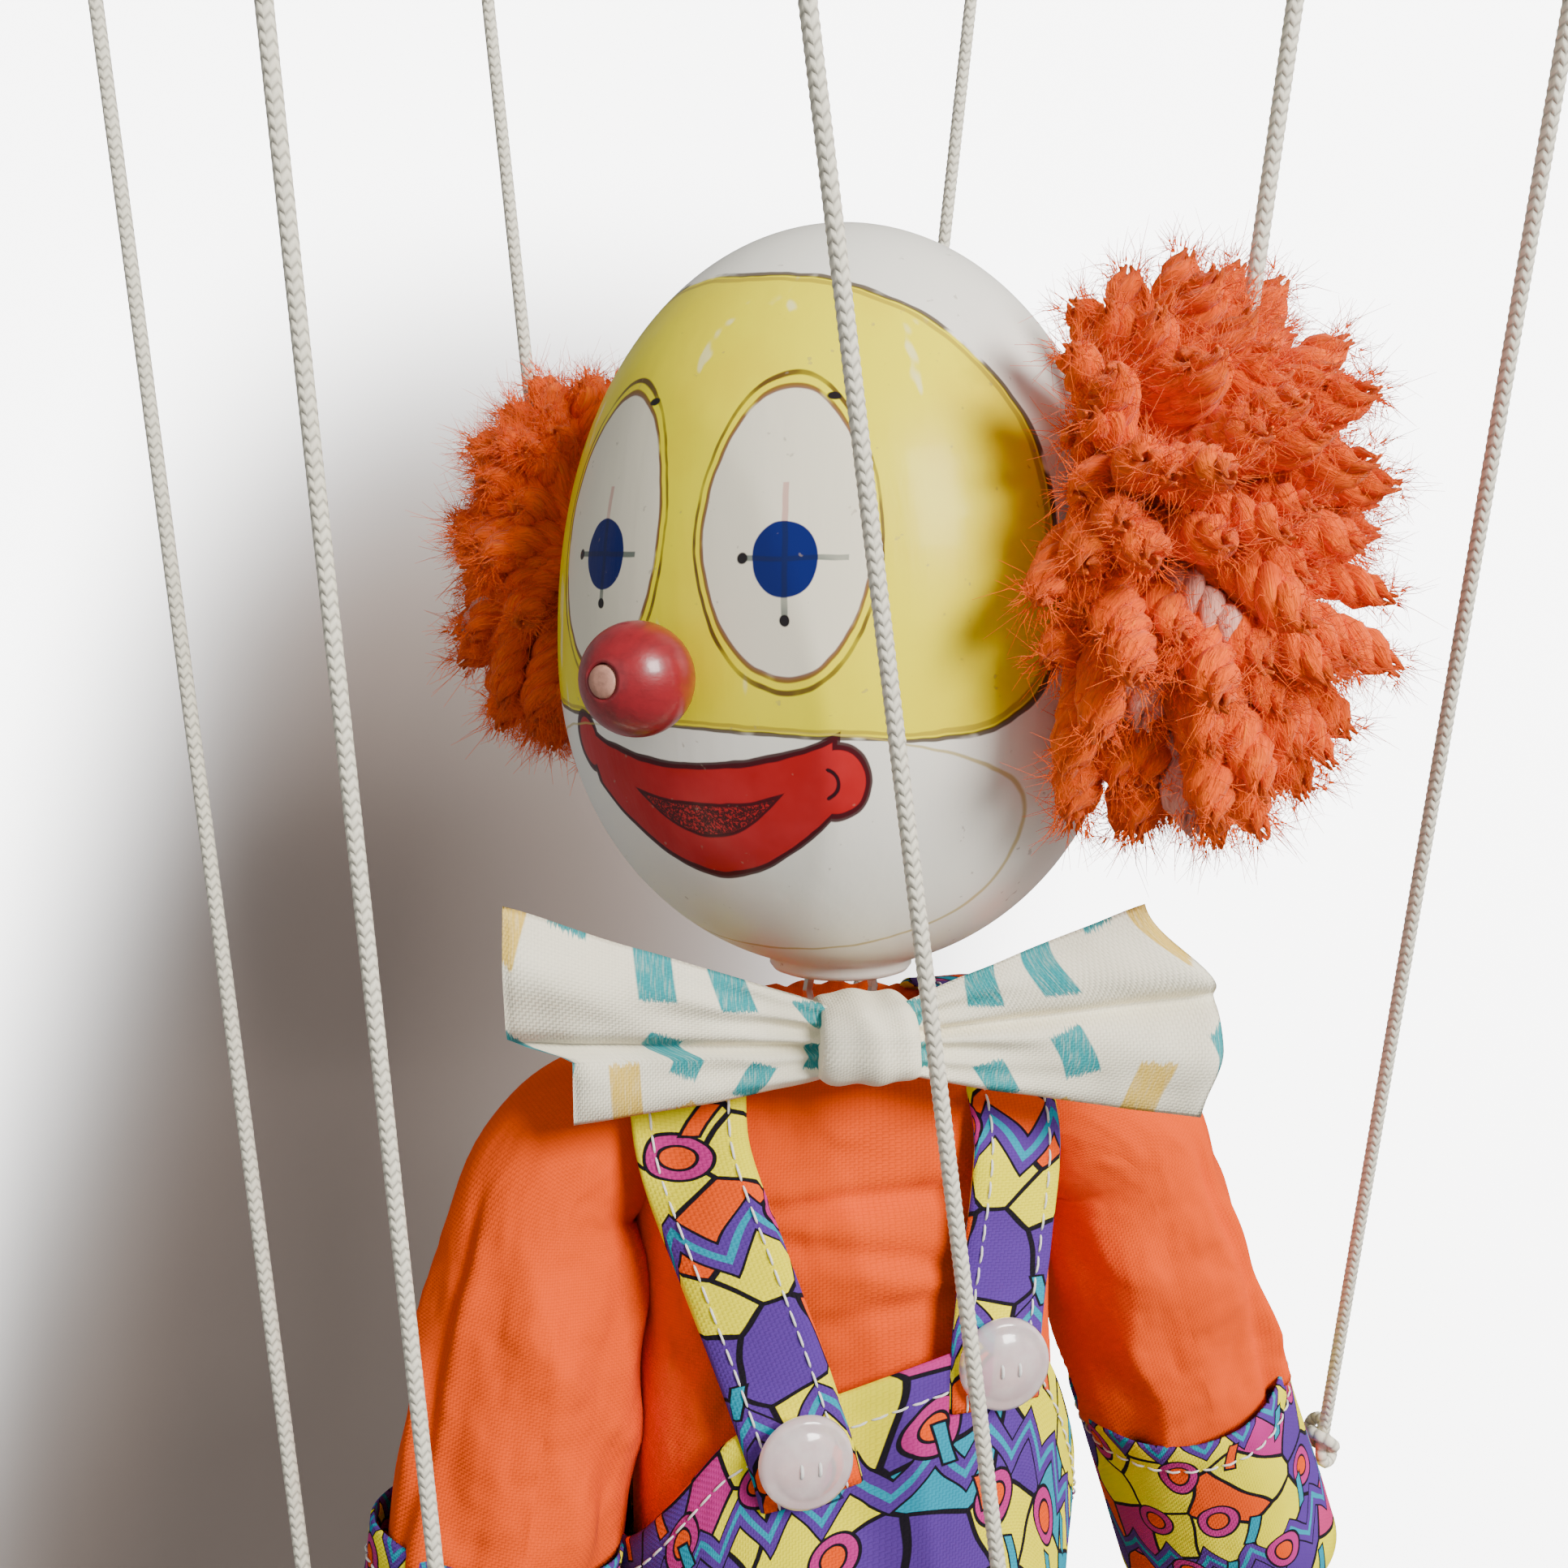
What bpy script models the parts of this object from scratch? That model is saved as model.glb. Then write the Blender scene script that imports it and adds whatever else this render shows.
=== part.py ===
"""Clown marionette: a turned wooden figure in cloth clothes, hung by seven cords from a wooden control.

Metres, +Z up. The origin is on the top face of the control's main bar. The figure's chest faces -Y and
its left hand is at +X. The head and the control are turned together, to the figure's right.
"""
import math

import bmesh
import bpy
from mathutils import Matrix, Vector

for old in list(bpy.data.objects):
    bpy.data.objects.remove(old)

# Fits
GAP = 0.0003
BORE_CLEARANCE = 0.0003

# Control
HEAD_TURN = math.radians(-48)
BAR_THICK = 0.009
BAR_WIDTH = 0.014
BAR_FRONT = 0.100
BAR_REAR = 0.078
CROSS_THICK = 0.007
CROSS_WIDTH = 0.012
CROSS_END = 0.006
HEAD_HOLE = 0.076
HAND_BAR_AHEAD = 0.037
HAND_HOLE = 0.110
LEG_BAR_AHEAD = 0.088
LEG_HOLE = 0.018
SEAT_HOLE_BEHIND = 0.070
CORD_DIAMETER = 0.0017
CORD_HOLE = 0.0026
CORD_POINTS = 24
SCREW_RADIUS = 0.0014
SCREW_HEAD_RADIUS = 0.0030
SCREW_HEAD_THICK = 0.0016
SCREW_DEPTH = 0.005

# Head, with heights from the head's middle
HEAD_Z = -0.278
HEAD_RADIUS = 0.0322
HEAD_WIDEST = -0.005
HEAD_ABOVE = 0.047
HEAD_BELOW = 0.0365
HEAD_TOP_POWER = 2.25
HEAD_CHIN_POWER = 2.1
LIP_RADIUS = 0.0082
LIP_HEIGHT = 0.0018
NECK_HOLLOW_RADIUS = 0.0056
NECK_HOLLOW_DEPTH = 0.010
NOSE_RADIUS = 0.00565
NOSE_HEIGHT = -0.007
NOSE_PEG_RADIUS = 0.0016
NOSE_PEG_DEPTH = 0.010
EAR_HEIGHT = 0.012
EAR_REACH = 0.045
EAR_SHANK_DEPTH = 0.009
EYE_RING_RADIUS = 0.0028
EYE_WIRE_RADIUS = 0.0006
TUFT_REACH = {"right": 0.038, "left": 0.040}
TUFT_HEIGHT = 0.006
TUFT_SIZE = {"right": (0.016, 0.019, 0.024), "left": (0.021, 0.024, 0.029)}
TUFT_EYE_ROOM = 0.0046
TUFT_CORD_ROOM = 0.0016

# Neck: two linked screw eyes
LINK_RADIUS = 0.0040
LINK_WIRE_RADIUS = 0.0006
LINK_STEM = 0.0012
LINK_SHANK_DEPTH = 0.0065

# Torso, with heights from the head's middle
TORSO_HALF = (0.021, 0.013)
TORSO_LENGTH = 0.084
TORSO_CORNER = 2.6
SHOULDER_DROPS = (0.0, 0.006, 0.014)
PELVIS_HALF = (0.008, 0.0104)
PELVIS_LENGTH = 0.022
SHIRT_THICK = 0.0035
SHIRT_SHORT = 0.006
COLLAR_RADIUS = 0.0092
BIB_THICK = 0.0018
BIB_TOP = -0.0825
BIB_SIDE_TOP = -0.106
BIB_BACK_TOP = -0.096
BIB_CORNER = 1.25
BIB_LEAN = 0.25
SEAT_DROP = 0.02225
STRAP_WIDTH = 0.0115
STRAP_THICK = 0.0011
STRAP_FOOT_X = {"right": 0.0102, "left": 0.0124}
STRAP_CHEST_X = {"right": 0.0170, "left": 0.0140}
STRAP_SHOULDER_X = {"right": 0.0185, "left": 0.0155}
STRAP_BACK_X = 0.0115
STRAP_SHOULDER_DROP = 0.005
STRAP_CHEST_DROP = 0.020
STRAP_TUCK = {"right": 0.0055, "left": 0.0030}
STRAP_BACK_TUCK = 0.004
STRAP_RISE = 0.006
STRAP_LEAN = 0.0015
STRAP_BLADE = (0.0150, 0.022)
BUTTON_RADIUS = 0.0052
BUTTON_THICK = 0.0036
BOW_WIDTH = 0.074
BOW_HEIGHT = 0.024
BOW_WAIST = 0.20
BOW_THICK = 0.0075
BOW_TURN = math.radians(-10)
BOW_Z = -0.0450
BOW_STAND = 0.0062
COLLAR_LEAN = 0.45
KNOT_WIDTH = 0.0100
KNOT_HEIGHT = 0.0066
KNOT_WALL = 0.0012
WIRE_RADIUS = 0.0010
WIRE_CAP_RADIUS = 0.0022
WIRE_CAP_THICK = 0.0012
SEAT_EYE_DROP = 0.00375
SEAT_SHANK_DEPTH = 0.0045

# Arms, measured from the shoulder wire
SHOULDER_DROP = 0.009
SHOULDER_X = 0.0325
ARM_RADIUS = 0.0048
ARM_LENGTH = 0.086
ARM_SPREAD = {"right": math.radians(10), "left": math.radians(22)}
ARM_SWING = {"right": math.radians(2), "left": math.radians(-12)}
SLEEVE_RADIUS = 0.0125
SLEEVE_TOP = 0.006
SLEEVE_LENGTH = 0.045
CUFF_RADIUS = 0.0142
CUFF_LENGTH = 0.030
HAND_LENGTH = 0.026
HAND_HALF = (0.0058, 0.0090)
PIN_RADIUS = 0.0009
PIN_SHARE = 0.8
END_ROOM = 1.25
TONGUE_SHARE = 0.6
ARM_TONGUE_THICK = 0.0030

# Legs, measured from the hip wire
HIP_DROP = 0.01375
HIP_X = 0.0155
LEG_SPREAD = math.radians(10.5)
THIGH_RADIUS = 0.0070
THIGH_LENGTH = 0.084
SHIN_RADIUS = 0.0064
SHIN_LENGTH = 0.078
LEG_TONGUE_THICK = 0.0040
TROUSER_RADIUS = 0.0152
TROUSER_HEM_RADIUS = 0.0160
TROUSER_TOP_DROP = 0.0120
TROUSER_OVERHANG = 0.004
HEM_ABOVE_ANKLE = 0.012
KNEE_CORD_RISE = 0.011
KNEE_CORD_TURN = {"right": math.radians(37), "left": 0.0}
SHOE_LENGTH = 0.054
SHOE_WIDTH = 0.024
SHOE_HEIGHT = 0.020
SHOE_HEEL = 0.016
SHOE_LEAN = 0.22
ANKLE_ABOVE_SOLE = 0.0155

SIDES = (("right", -1), ("left", 1))
UP = Vector((0, 0, 1))
X_AXIS = Vector((1, 0, 0))


def paint(name, colour, roughness, metallic=0.0):
    """Makes one Principled material."""
    made = bpy.data.materials.new(name)
    made.use_nodes = True
    made.diffuse_color = (*colour, 1)
    shader = made.node_tree.nodes["Principled BSDF"]
    shader.inputs["Base Color"].default_value = (*colour, 1)
    shader.inputs["Roughness"].default_value = roughness
    shader.inputs["Metallic"].default_value = metallic
    return made


WHITE_GLOSS = paint("white_gloss_paint", (0.86, 0.84, 0.76), 0.25)
RED_STAIN = paint("red_stained_wood", (0.45, 0.03, 0.05), 0.3)
BARE_WOOD = paint("bare_wood", (0.62, 0.43, 0.24), 0.55)
ORANGE_YARN = paint("orange_yarn", (0.85, 0.17, 0.02), 0.9)
ORANGE_COTTON = paint("orange_cotton", (0.86, 0.18, 0.02), 0.85)
PRINT_COTTON = paint("printed_cotton", (0.75, 0.55, 0.08), 0.85)
CREAM_COTTON = paint("cream_cotton", (0.85, 0.80, 0.68), 0.85)
CLEAR_PLASTIC = paint("clear_pink_plastic", (0.80, 0.68, 0.66), 0.15)
STEEL = paint("bright_steel", (0.60, 0.60, 0.58), 0.3, 1.0)
WHITE_CORD = paint("white_cord", (0.88, 0.86, 0.80), 0.8)
RED_GLOSS = paint("red_gloss_paint", (0.60, 0.04, 0.03), 0.25)


def empty(name, place_at, turn=0.0):
    """An unseen pivot that pieces are parented to, turned about Z."""
    made = bpy.data.objects.new(name, None)
    bpy.context.collection.objects.link(made)
    made.matrix_world = Matrix.Translation(place_at) @ Matrix.Rotation(turn, 4, "Z")
    return made


def place(name, mesh, finish, parent=None, sharp=40):
    """Turns a bmesh, written in its parent's own frame, into a named object."""
    data = bpy.data.meshes.new(name)
    bmesh.ops.recalc_face_normals(mesh, faces=mesh.faces)
    mesh.to_mesh(data)
    mesh.free()
    data.shade_smooth()
    data.set_sharp_from_angle(angle=math.radians(sharp))
    made = bpy.data.objects.new(name, data)
    bpy.context.collection.objects.link(made)
    if finish:
        data.materials.append(finish)
    made.parent = parent
    return made


def combine(target, mesh, operation="DIFFERENCE"):
    """Cuts a bmesh from the target, or joins it on, with the cutter kept out of the model."""
    cutter = place(f"{target.name}_cutter", mesh, None, target.parent)
    cutter.hide_render = True
    cutter.display_type = "WIRE"
    cut = target.modifiers.new("cut", "BOOLEAN")
    cut.operation = operation
    cut.solver = "EXACT"
    cut.object = cutter
    return target


def loft(rings, cap=True, wrap=False):
    """Skins a list of rings of points, with flat caps or with the last ring joined to the first."""
    mesh = bmesh.new()
    rows = [[mesh.verts.new(point) for point in ring] for ring in rings]
    pairs = list(zip(rows, rows[1:]))
    if wrap:
        pairs.append((rows[-1], rows[0]))
    for low, high in pairs:
        count = len(low)
        for i in range(count):
            j = (i + 1) % count
            mesh.faces.new((low[i], low[j], high[j], high[i]))
    if cap and not wrap:
        mesh.faces.new(rows[0])
        mesh.faces.new(rows[-1])
    return mesh


def oval(half_x, half_y, height, power=2.0, count=24, middle=(0, 0)):
    """A level ring on a superellipse."""
    ring = []
    for i in range(count):
        turn = 2 * math.pi * i / count
        across = math.copysign(abs(math.cos(turn)) ** (2 / power), math.cos(turn))
        along = math.copysign(abs(math.sin(turn)) ** (2 / power), math.sin(turn))
        ring.append(Vector((middle[0] + half_x * across, middle[1] + half_y * along, height)))
    return ring


def turned(profile, count=24):
    """A body of revolution about Z from (radius, height) pairs, with flat ends."""
    return loft([oval(radius, radius, height, count=count) for radius, height in profile])


def rod(start, end, radius, count=12):
    """A plain round rod between two points."""
    start, end = Vector(start), Vector(end)
    mesh = turned([(radius, 0), (radius, (end - start).length)], count)
    spin = UP.rotation_difference(end - start).to_matrix().to_4x4()
    bmesh.ops.transform(mesh, matrix=Matrix.Translation(start) @ spin, verts=mesh.verts)
    return mesh


def wire_ring(middle, across, upright, radius, wire, count=16, sides=6):
    """A closed wire ring in the plane of two directions."""
    rings = []
    normal = across.cross(upright)
    for i in range(count):
        turn = 2 * math.pi * i / count
        out = across * math.cos(turn) + upright * math.sin(turn)
        ring = []
        for k in range(sides):
            roll = 2 * math.pi * k / sides
            ring.append(middle + out * (radius + wire * math.cos(roll)) + normal * wire * math.sin(roll))
        rings.append(ring)
    return loft(rings, wrap=True)


def box(low, high):
    """A plain block from its two corners."""
    (x0, y0, z0), (x1, y1, z1) = low, high
    corners = [(x0, y0), (x1, y0), (x1, y1), (x0, y1)]
    return loft([[Vector((x, y, z)) for x, y in corners] for z in (z0, z1)])


def screw_eye(name, foot, out, across, shank, stem, radius, wire, parent):
    """A screw eye: its shank goes into the wood behind foot, and its ring stands out along out."""
    middle = foot + out * (stem + radius + wire)
    eye = place(name, wire_ring(middle, across, out, radius, wire), STEEL, parent)
    return combine(eye, rod(foot - out * shank, foot + out * (stem + wire), wire, 8), "UNION")


def shell(outer, inner):
    """A hollow body that is open at both ends."""
    return loft(outer + inner[::-1], wrap=True)


# Pivots
head_pivot = empty("head_pivot", (0, 0, HEAD_Z), HEAD_TURN)
control_pivot = empty("control_pivot", (0, 0, 0), HEAD_TURN)
body_pivot = empty("body_pivot", (0, 0, HEAD_Z))


def head_radius(height):
    """The turned head's radius at a height from its middle."""
    away = height - HEAD_WIDEST
    if away >= 0:
        share = (away / HEAD_ABOVE) ** HEAD_TOP_POWER
    else:
        share = (-away / HEAD_BELOW) ** HEAD_CHIN_POWER
    return HEAD_RADIUS * math.sqrt(max(0.0, 1 - share))


LIP_TOP = HEAD_WIDEST - HEAD_BELOW * (1 - (LIP_RADIUS / HEAD_RADIUS) ** 2) ** (1 / HEAD_CHIN_POWER)
HEAD_FOOT = LIP_TOP - LIP_HEIGHT
HEAD_CROWN = HEAD_WIDEST + HEAD_ABOVE


def head_profile(grow=0.0, steps=20):
    """Radius and height pairs up the head, spaced evenly in angle, swollen by grow."""
    pairs = []
    low = math.asin(max(-1.0, (LIP_TOP - HEAD_WIDEST) / HEAD_BELOW))
    for i in range(steps):
        turn = low + (math.radians(87) - low) * i / (steps - 1)
        reach = HEAD_ABOVE if turn > 0 else HEAD_BELOW
        height = HEAD_WIDEST + reach * math.sin(turn)
        pairs.append((head_radius(height) + grow, height + grow * math.sin(turn)))
    return pairs


# Neck heights
HOLLOW_TOP = HEAD_FOOT + NECK_HOLLOW_DEPTH
LINK_SPACING = 2 * (LINK_RADIUS - LINK_WIRE_RADIUS) - GAP
LINK_ARM = LINK_STEM + LINK_RADIUS + LINK_WIRE_RADIUS
TORSO_TOP = HOLLOW_TOP - LINK_ARM - LINK_SPACING - LINK_ARM


def build_head():
    """The head with its hollow neck, nose, ear eyes, neck eye and yarn tufts."""
    rim = LIP_RADIUS - LIP_HEIGHT / 2
    profile = [(rim, HEAD_FOOT), (LIP_RADIUS, HEAD_FOOT + LIP_HEIGHT / 2)] + head_profile()
    head = place("head", turned(profile, 36), WHITE_GLOSS, head_pivot)
    hollow_foot = Vector((0, 0, HEAD_FOOT - GAP))
    combine(head, rod(hollow_foot, Vector((0, 0, HOLLOW_TOP)), NECK_HOLLOW_RADIUS, 24))
    face = head_radius(NOSE_HEIGHT)
    nose_y = -(face + GAP + NOSE_RADIUS)
    peg_back = Vector((0, -(face - NOSE_PEG_DEPTH), NOSE_HEIGHT))
    nose_flat = math.sqrt(NOSE_RADIUS ** 2 - (NOSE_PEG_RADIUS + BORE_CLEARANCE) ** 2)
    peg_front = Vector((0, nose_y - nose_flat, NOSE_HEIGHT))
    bore = NOSE_PEG_RADIUS + BORE_CLEARANCE
    back_of_bore = peg_back + Vector((0, BORE_CLEARANCE, 0))
    front_of_bore = peg_front - Vector((0, NOSE_RADIUS, 0))
    combine(head, rod(back_of_bore, front_of_bore, bore, 16))
    bead_profile = []
    for i in range(13):
        turn = math.radians(-80 + 160 * i / 12)
        bead_profile.append((NOSE_RADIUS * math.cos(turn), NOSE_RADIUS * math.sin(turn)))
    bead = turned(bead_profile)
    lay = Matrix.Translation((0, nose_y, NOSE_HEIGHT)) @ Matrix.Rotation(math.pi / 2, 4, "X")
    bmesh.ops.transform(bead, matrix=lay, verts=bead.verts)
    combine(place("nose_bead", bead, RED_STAIN, head_pivot), rod(back_of_bore, front_of_bore, bore, 16))
    place("nose_peg", rod(peg_back, peg_front, NOSE_PEG_RADIUS, 16), BARE_WOOD, head_pivot)
    for side, sign in SIDES:
        out = X_AXIS * sign
        foot = Vector((sign * (head_radius(EAR_HEIGHT) - GAP), 0, EAR_HEIGHT))
        stem = EAR_REACH - abs(foot.x) - EYE_RING_RADIUS - EYE_WIRE_RADIUS
        shank = EAR_SHANK_DEPTH
        hole_end = foot - out * (shank + BORE_CLEARANCE)
        combine(head, rod(hole_end, foot + out * stem, EYE_WIRE_RADIUS + BORE_CLEARANCE))
        screw_eye(f"{side}_ear_eye", foot, out, UP, shank, stem,
                  EYE_RING_RADIUS, EYE_WIRE_RADIUS, head_pivot)
        build_tuft(side, sign, foot)
    neck = Vector((0, 0, HOLLOW_TOP))
    shank_top = neck + UP * (LINK_SHANK_DEPTH + BORE_CLEARANCE)
    combine(head, rod(neck - UP * GAP, shank_top, LINK_WIRE_RADIUS + BORE_CLEARANCE))
    screw_eye("head_neck_eye", neck, -UP, Vector((0, 1, 0)), LINK_SHANK_DEPTH, LINK_STEM,
              LINK_RADIUS, LINK_WIRE_RADIUS, head_pivot)


def build_tuft(side, sign, foot):
    """The plain outer form of one yarn tuft, hollowed to sit on the head, with room for its eye and cord."""
    half = TUFT_SIZE[side]
    rings = []
    for i in range(1, 12):
        turn = math.radians(-90 + 180 * i / 12)
        size = math.cos(turn)
        middle = (sign * TUFT_REACH[side], 0)
        height = TUFT_HEIGHT + half[2] * math.sin(turn)
        rings.append(oval(half[0] * size, half[1] * size, height, middle=middle))
    tuft = place(f"{side}_hair_tuft", loft(rings), ORANGE_YARN, head_pivot)
    combine(tuft, turned(head_profile(GAP), 36))
    ring = Vector((sign * EAR_REACH, 0, EAR_HEIGHT))
    stem_room = rod(foot - X_AXIS * sign * TUFT_EYE_ROOM, ring, EYE_WIRE_RADIUS + BORE_CLEARANCE)
    combine(tuft, stem_room)
    room = [(TUFT_EYE_ROOM * math.cos(math.radians(t)), TUFT_EYE_ROOM * math.sin(math.radians(t)))
            for t in range(-75, 90, 30)]
    sphere = turned(room, 16)
    bmesh.ops.transform(sphere, matrix=Matrix.Translation(ring), verts=sphere.verts)
    combine(tuft, sphere)
    to_hole = Vector((sign * HEAD_HOLE, 0, -HEAD_Z)) - ring
    combine(tuft, rod(ring, ring + to_hole.normalized() * 2 * half[2], TUFT_CORD_ROOM))


def torso_half(height, grow):
    """Half width and half depth of the body, or of a layer of cloth over it, at a height."""
    fall = (TORSO_TOP - height) / TORSO_LENGTH
    narrow = 0.12 * max(0.0, 1 - 6 * fall) ** 2
    return TORSO_HALF[0] * (1 - narrow) + grow, TORSO_HALF[1] * (1 - narrow) + grow


SHIRT_OUT = GAP + SHIRT_THICK
BIB_IN = SHIRT_OUT + GAP
BIB_OUT = BIB_IN + BIB_THICK
SHOULDER_Z = TORSO_TOP - SHOULDER_DROP
PELVIS_Z = TORSO_TOP - TORSO_LENGTH
HIP_Z = PELVIS_Z - HIP_DROP
BIB_BOTTOM = PELVIS_Z - SEAT_DROP
SEAT_EYE_Z = PELVIS_Z - SEAT_EYE_DROP
SHIRT_FOOT = PELVIS_Z + SHIRT_SHORT
SHIRT_TOP = TORSO_TOP + SHIRT_OUT
SHOULDER_LEVELS = tuple(TORSO_TOP - drop for drop in SHOULDER_DROPS)


def surface_y(x, height, grow):
    """How far in front of the axis a layer of cloth lies."""
    half_x, half_y = torso_half(height, grow)
    return half_y * max(0.0, 1 - abs(x / half_x) ** TORSO_CORNER) ** (1 / TORSO_CORNER)


def cloth_rings(grow, heights, count=32):
    """Level rings of a layer of cloth, each height a number or a function of the turn about the body."""
    rings = []
    for height in heights:
        ring = []
        for i in range(count):
            turn = 2 * math.pi * i / count
            z = height(turn) if callable(height) else height
            half_x, half_y = torso_half(z, grow)
            ring.append(oval(half_x, half_y, z, TORSO_CORNER, count)[i])
        rings.append(ring)
    return rings


def bib_edge(turn):
    """Height of the dungarees' top edge: a bib that hangs lower on its right, and low at the arms."""
    front = min(1.0, BIB_CORNER * max(0.0, -math.sin(turn)) ** 2)
    back = max(0.0, math.sin(turn)) ** 2
    half_x, _ = torso_half(BIB_TOP, BIB_OUT)
    across = math.copysign(abs(math.cos(turn)) ** (2 / TORSO_CORNER), math.cos(turn)) * half_x
    bib = BIB_TOP + BIB_LEAN * across
    return BIB_SIDE_TOP + (bib - BIB_SIDE_TOP) * front + (BIB_BACK_TOP - BIB_SIDE_TOP) * back


def limb_reach(radius, spread):
    """How far out of its middle a spread limb reaches along its wire, with a gap for the wire's cap."""
    return radius / math.cos(spread) + WIRE_CAP_RADIUS * math.tan(spread) + GAP


def build_torso():
    """The wooden body and the cloth over it."""
    rings = [oval(*torso_half(z, 0), z, TORSO_CORNER, 32) for z in (*SHOULDER_LEVELS, PELVIS_Z)]
    torso = place("torso_block", loft(rings), BARE_WOOD, body_pivot)
    tongue_low = (-PELVIS_HALF[0], -PELVIS_HALF[1], PELVIS_Z - PELVIS_LENGTH)
    tongue_high = (PELVIS_HALF[0], PELVIS_HALF[1], PELVIS_Z + PELVIS_LENGTH / 2)
    combine(torso, box(tongue_low, tongue_high), "UNION")
    neck = Vector((0, 0, TORSO_TOP))
    neck_hole = neck - UP * (LINK_SHANK_DEPTH + BORE_CLEARANCE)
    combine(torso, rod(neck_hole, neck + UP * GAP, LINK_WIRE_RADIUS + BORE_CLEARANCE))
    screw_eye("torso_neck_eye", neck, UP, X_AXIS, LINK_SHANK_DEPTH, LINK_STEM,
              LINK_RADIUS, LINK_WIRE_RADIUS, body_pivot)
    shoulder_ends = {side: SHOULDER_X + limb_reach(ARM_RADIUS, ARM_SPREAD[side]) for side, _ in SIDES}
    hip_ends = {side: HIP_X + limb_reach(THIGH_RADIUS, LEG_SPREAD) for side, _ in SIDES}
    for name, height, ends in (("shoulder_wire", SHOULDER_Z, shoulder_ends), ("hip_wire", HIP_Z, hip_ends)):
        level = Vector((0, 0, height))
        low = level - X_AXIS * (ends["right"] + WIRE_CAP_THICK)
        high = level + X_AXIS * (ends["left"] + WIRE_CAP_THICK)
        combine(torso, rod(low, high, WIRE_RADIUS + BORE_CLEARANCE))
        wire = place(name, rod(low, high, WIRE_RADIUS), STEEL, body_pivot)
        for side, sign in SIDES:
            inner = level + X_AXIS * sign * ends[side]
            outer = inner + X_AXIS * sign * WIRE_CAP_THICK * 1.2
            combine(wire, rod(inner, outer, WIRE_CAP_RADIUS), "UNION")
    build_shirt()
    build_dungarees(torso)


def build_shirt():
    """The shirt's body, drawn in to a collar over the top of the block."""
    levels = [SHIRT_FOOT, *SHOULDER_LEVELS[::-1]]
    inner = cloth_rings(GAP, levels[:-1] + [TORSO_TOP + GAP])
    inner.append(oval(COLLAR_RADIUS, COLLAR_RADIUS, TORSO_TOP + GAP, count=32))
    outer = cloth_rings(SHIRT_OUT, levels[:-1])
    half_x, half_y = torso_half(TORSO_TOP, SHIRT_OUT * 0.6)
    outer.append(oval(half_x, half_y, TORSO_TOP + SHIRT_OUT * 0.5, TORSO_CORNER, 32))
    outer.append(oval(COLLAR_RADIUS + SHIRT_THICK, COLLAR_RADIUS + SHIRT_THICK, SHIRT_TOP, count=32))
    shirt = place("shirt_body", shell(outer, inner), ORANGE_COTTON, body_pivot)
    reach = X_AXIS * (SHOULDER_X - ARM_RADIUS)
    level = Vector((0, 0, SHOULDER_Z))
    combine(shirt, rod(level - reach, level + reach, WIRE_RADIUS + BORE_CLEARANCE))


def build_dungarees(torso):
    """The dungarees' body, straps, buttons, the bow tie and the eye of the seat cord."""
    rows = 5
    levels = []
    for row in range(rows):
        share = row / (rows - 1)
        levels.append(lambda turn, share=share: BIB_BOTTOM + (bib_edge(turn) - BIB_BOTTOM) * share)
    body = place("dungarees_body", shell(cloth_rings(BIB_OUT, levels), cloth_rings(BIB_IN, levels)),
                 PRINT_COTTON, body_pivot)
    foot = Vector((0, surface_y(0, SEAT_EYE_Z, BIB_OUT), SEAT_EYE_Z))
    back = Vector((0, 1, 0))
    shank = foot.y - PELVIS_HALF[1] + SEAT_SHANK_DEPTH
    hole = rod(foot - back * (shank + BORE_CLEARANCE), foot + back * GAP, EYE_WIRE_RADIUS + BORE_CLEARANCE)
    combine(body, hole.copy())
    combine(torso, hole)
    screw_eye("seat_eye", foot, back, UP, shank, GAP, EYE_RING_RADIUS, EYE_WIRE_RADIUS, body_pivot)
    for side, sign in SIDES:
        build_strap(side, sign)
    build_bow()


STRAP_COLUMNS = (-1, -0.5, 0, 0.5, 1)


def strap_lines(side, sign):
    """Distance from the middle and height of a strap's sections, in front of the body and behind it."""
    crest = (STRAP_SHOULDER_X[side], TORSO_TOP - STRAP_SHOULDER_DROP)
    foot_x = STRAP_FOOT_X[side]
    edge = BIB_TOP + BIB_LEAN * sign * foot_x
    front = ((foot_x, edge - STRAP_TUCK[side]), (foot_x + STRAP_LEAN, edge + STRAP_RISE),
             (STRAP_CHEST_X[side], TORSO_TOP - STRAP_CHEST_DROP), crest)
    back = (crest, (STRAP_BLADE[0], TORSO_TOP - STRAP_BLADE[1]),
            (STRAP_BACK_X, BIB_BACK_TOP + STRAP_RISE), (STRAP_BACK_X, BIB_BACK_TOP - STRAP_BACK_TUCK))
    return front, back


def strap_ring(x, z, face, sign):
    """One cross-section of a strap that lies on the cloth, in front of the body (-1) or behind it (1)."""
    under = []
    for column in STRAP_COLUMNS:
        across = x + column * STRAP_WIDTH / 2
        under.append(Vector((sign * across, face * (surface_y(across, z, BIB_OUT) + 2 * GAP), z)))
    over = [point + Vector((0, face * STRAP_THICK, 0)) for point in under]
    return under + over[::-1]


def shoulder_ring(x, depth, sign):
    """One cross-section of a strap where it lies over the shoulder."""
    lift = UP * STRAP_THICK
    under = []
    for column in STRAP_COLUMNS:
        across = x + column * STRAP_WIDTH / 2
        under.append(Vector((sign * across, depth, SHIRT_TOP + GAP)))
    return under + [point + lift for point in under][::-1]


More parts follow.
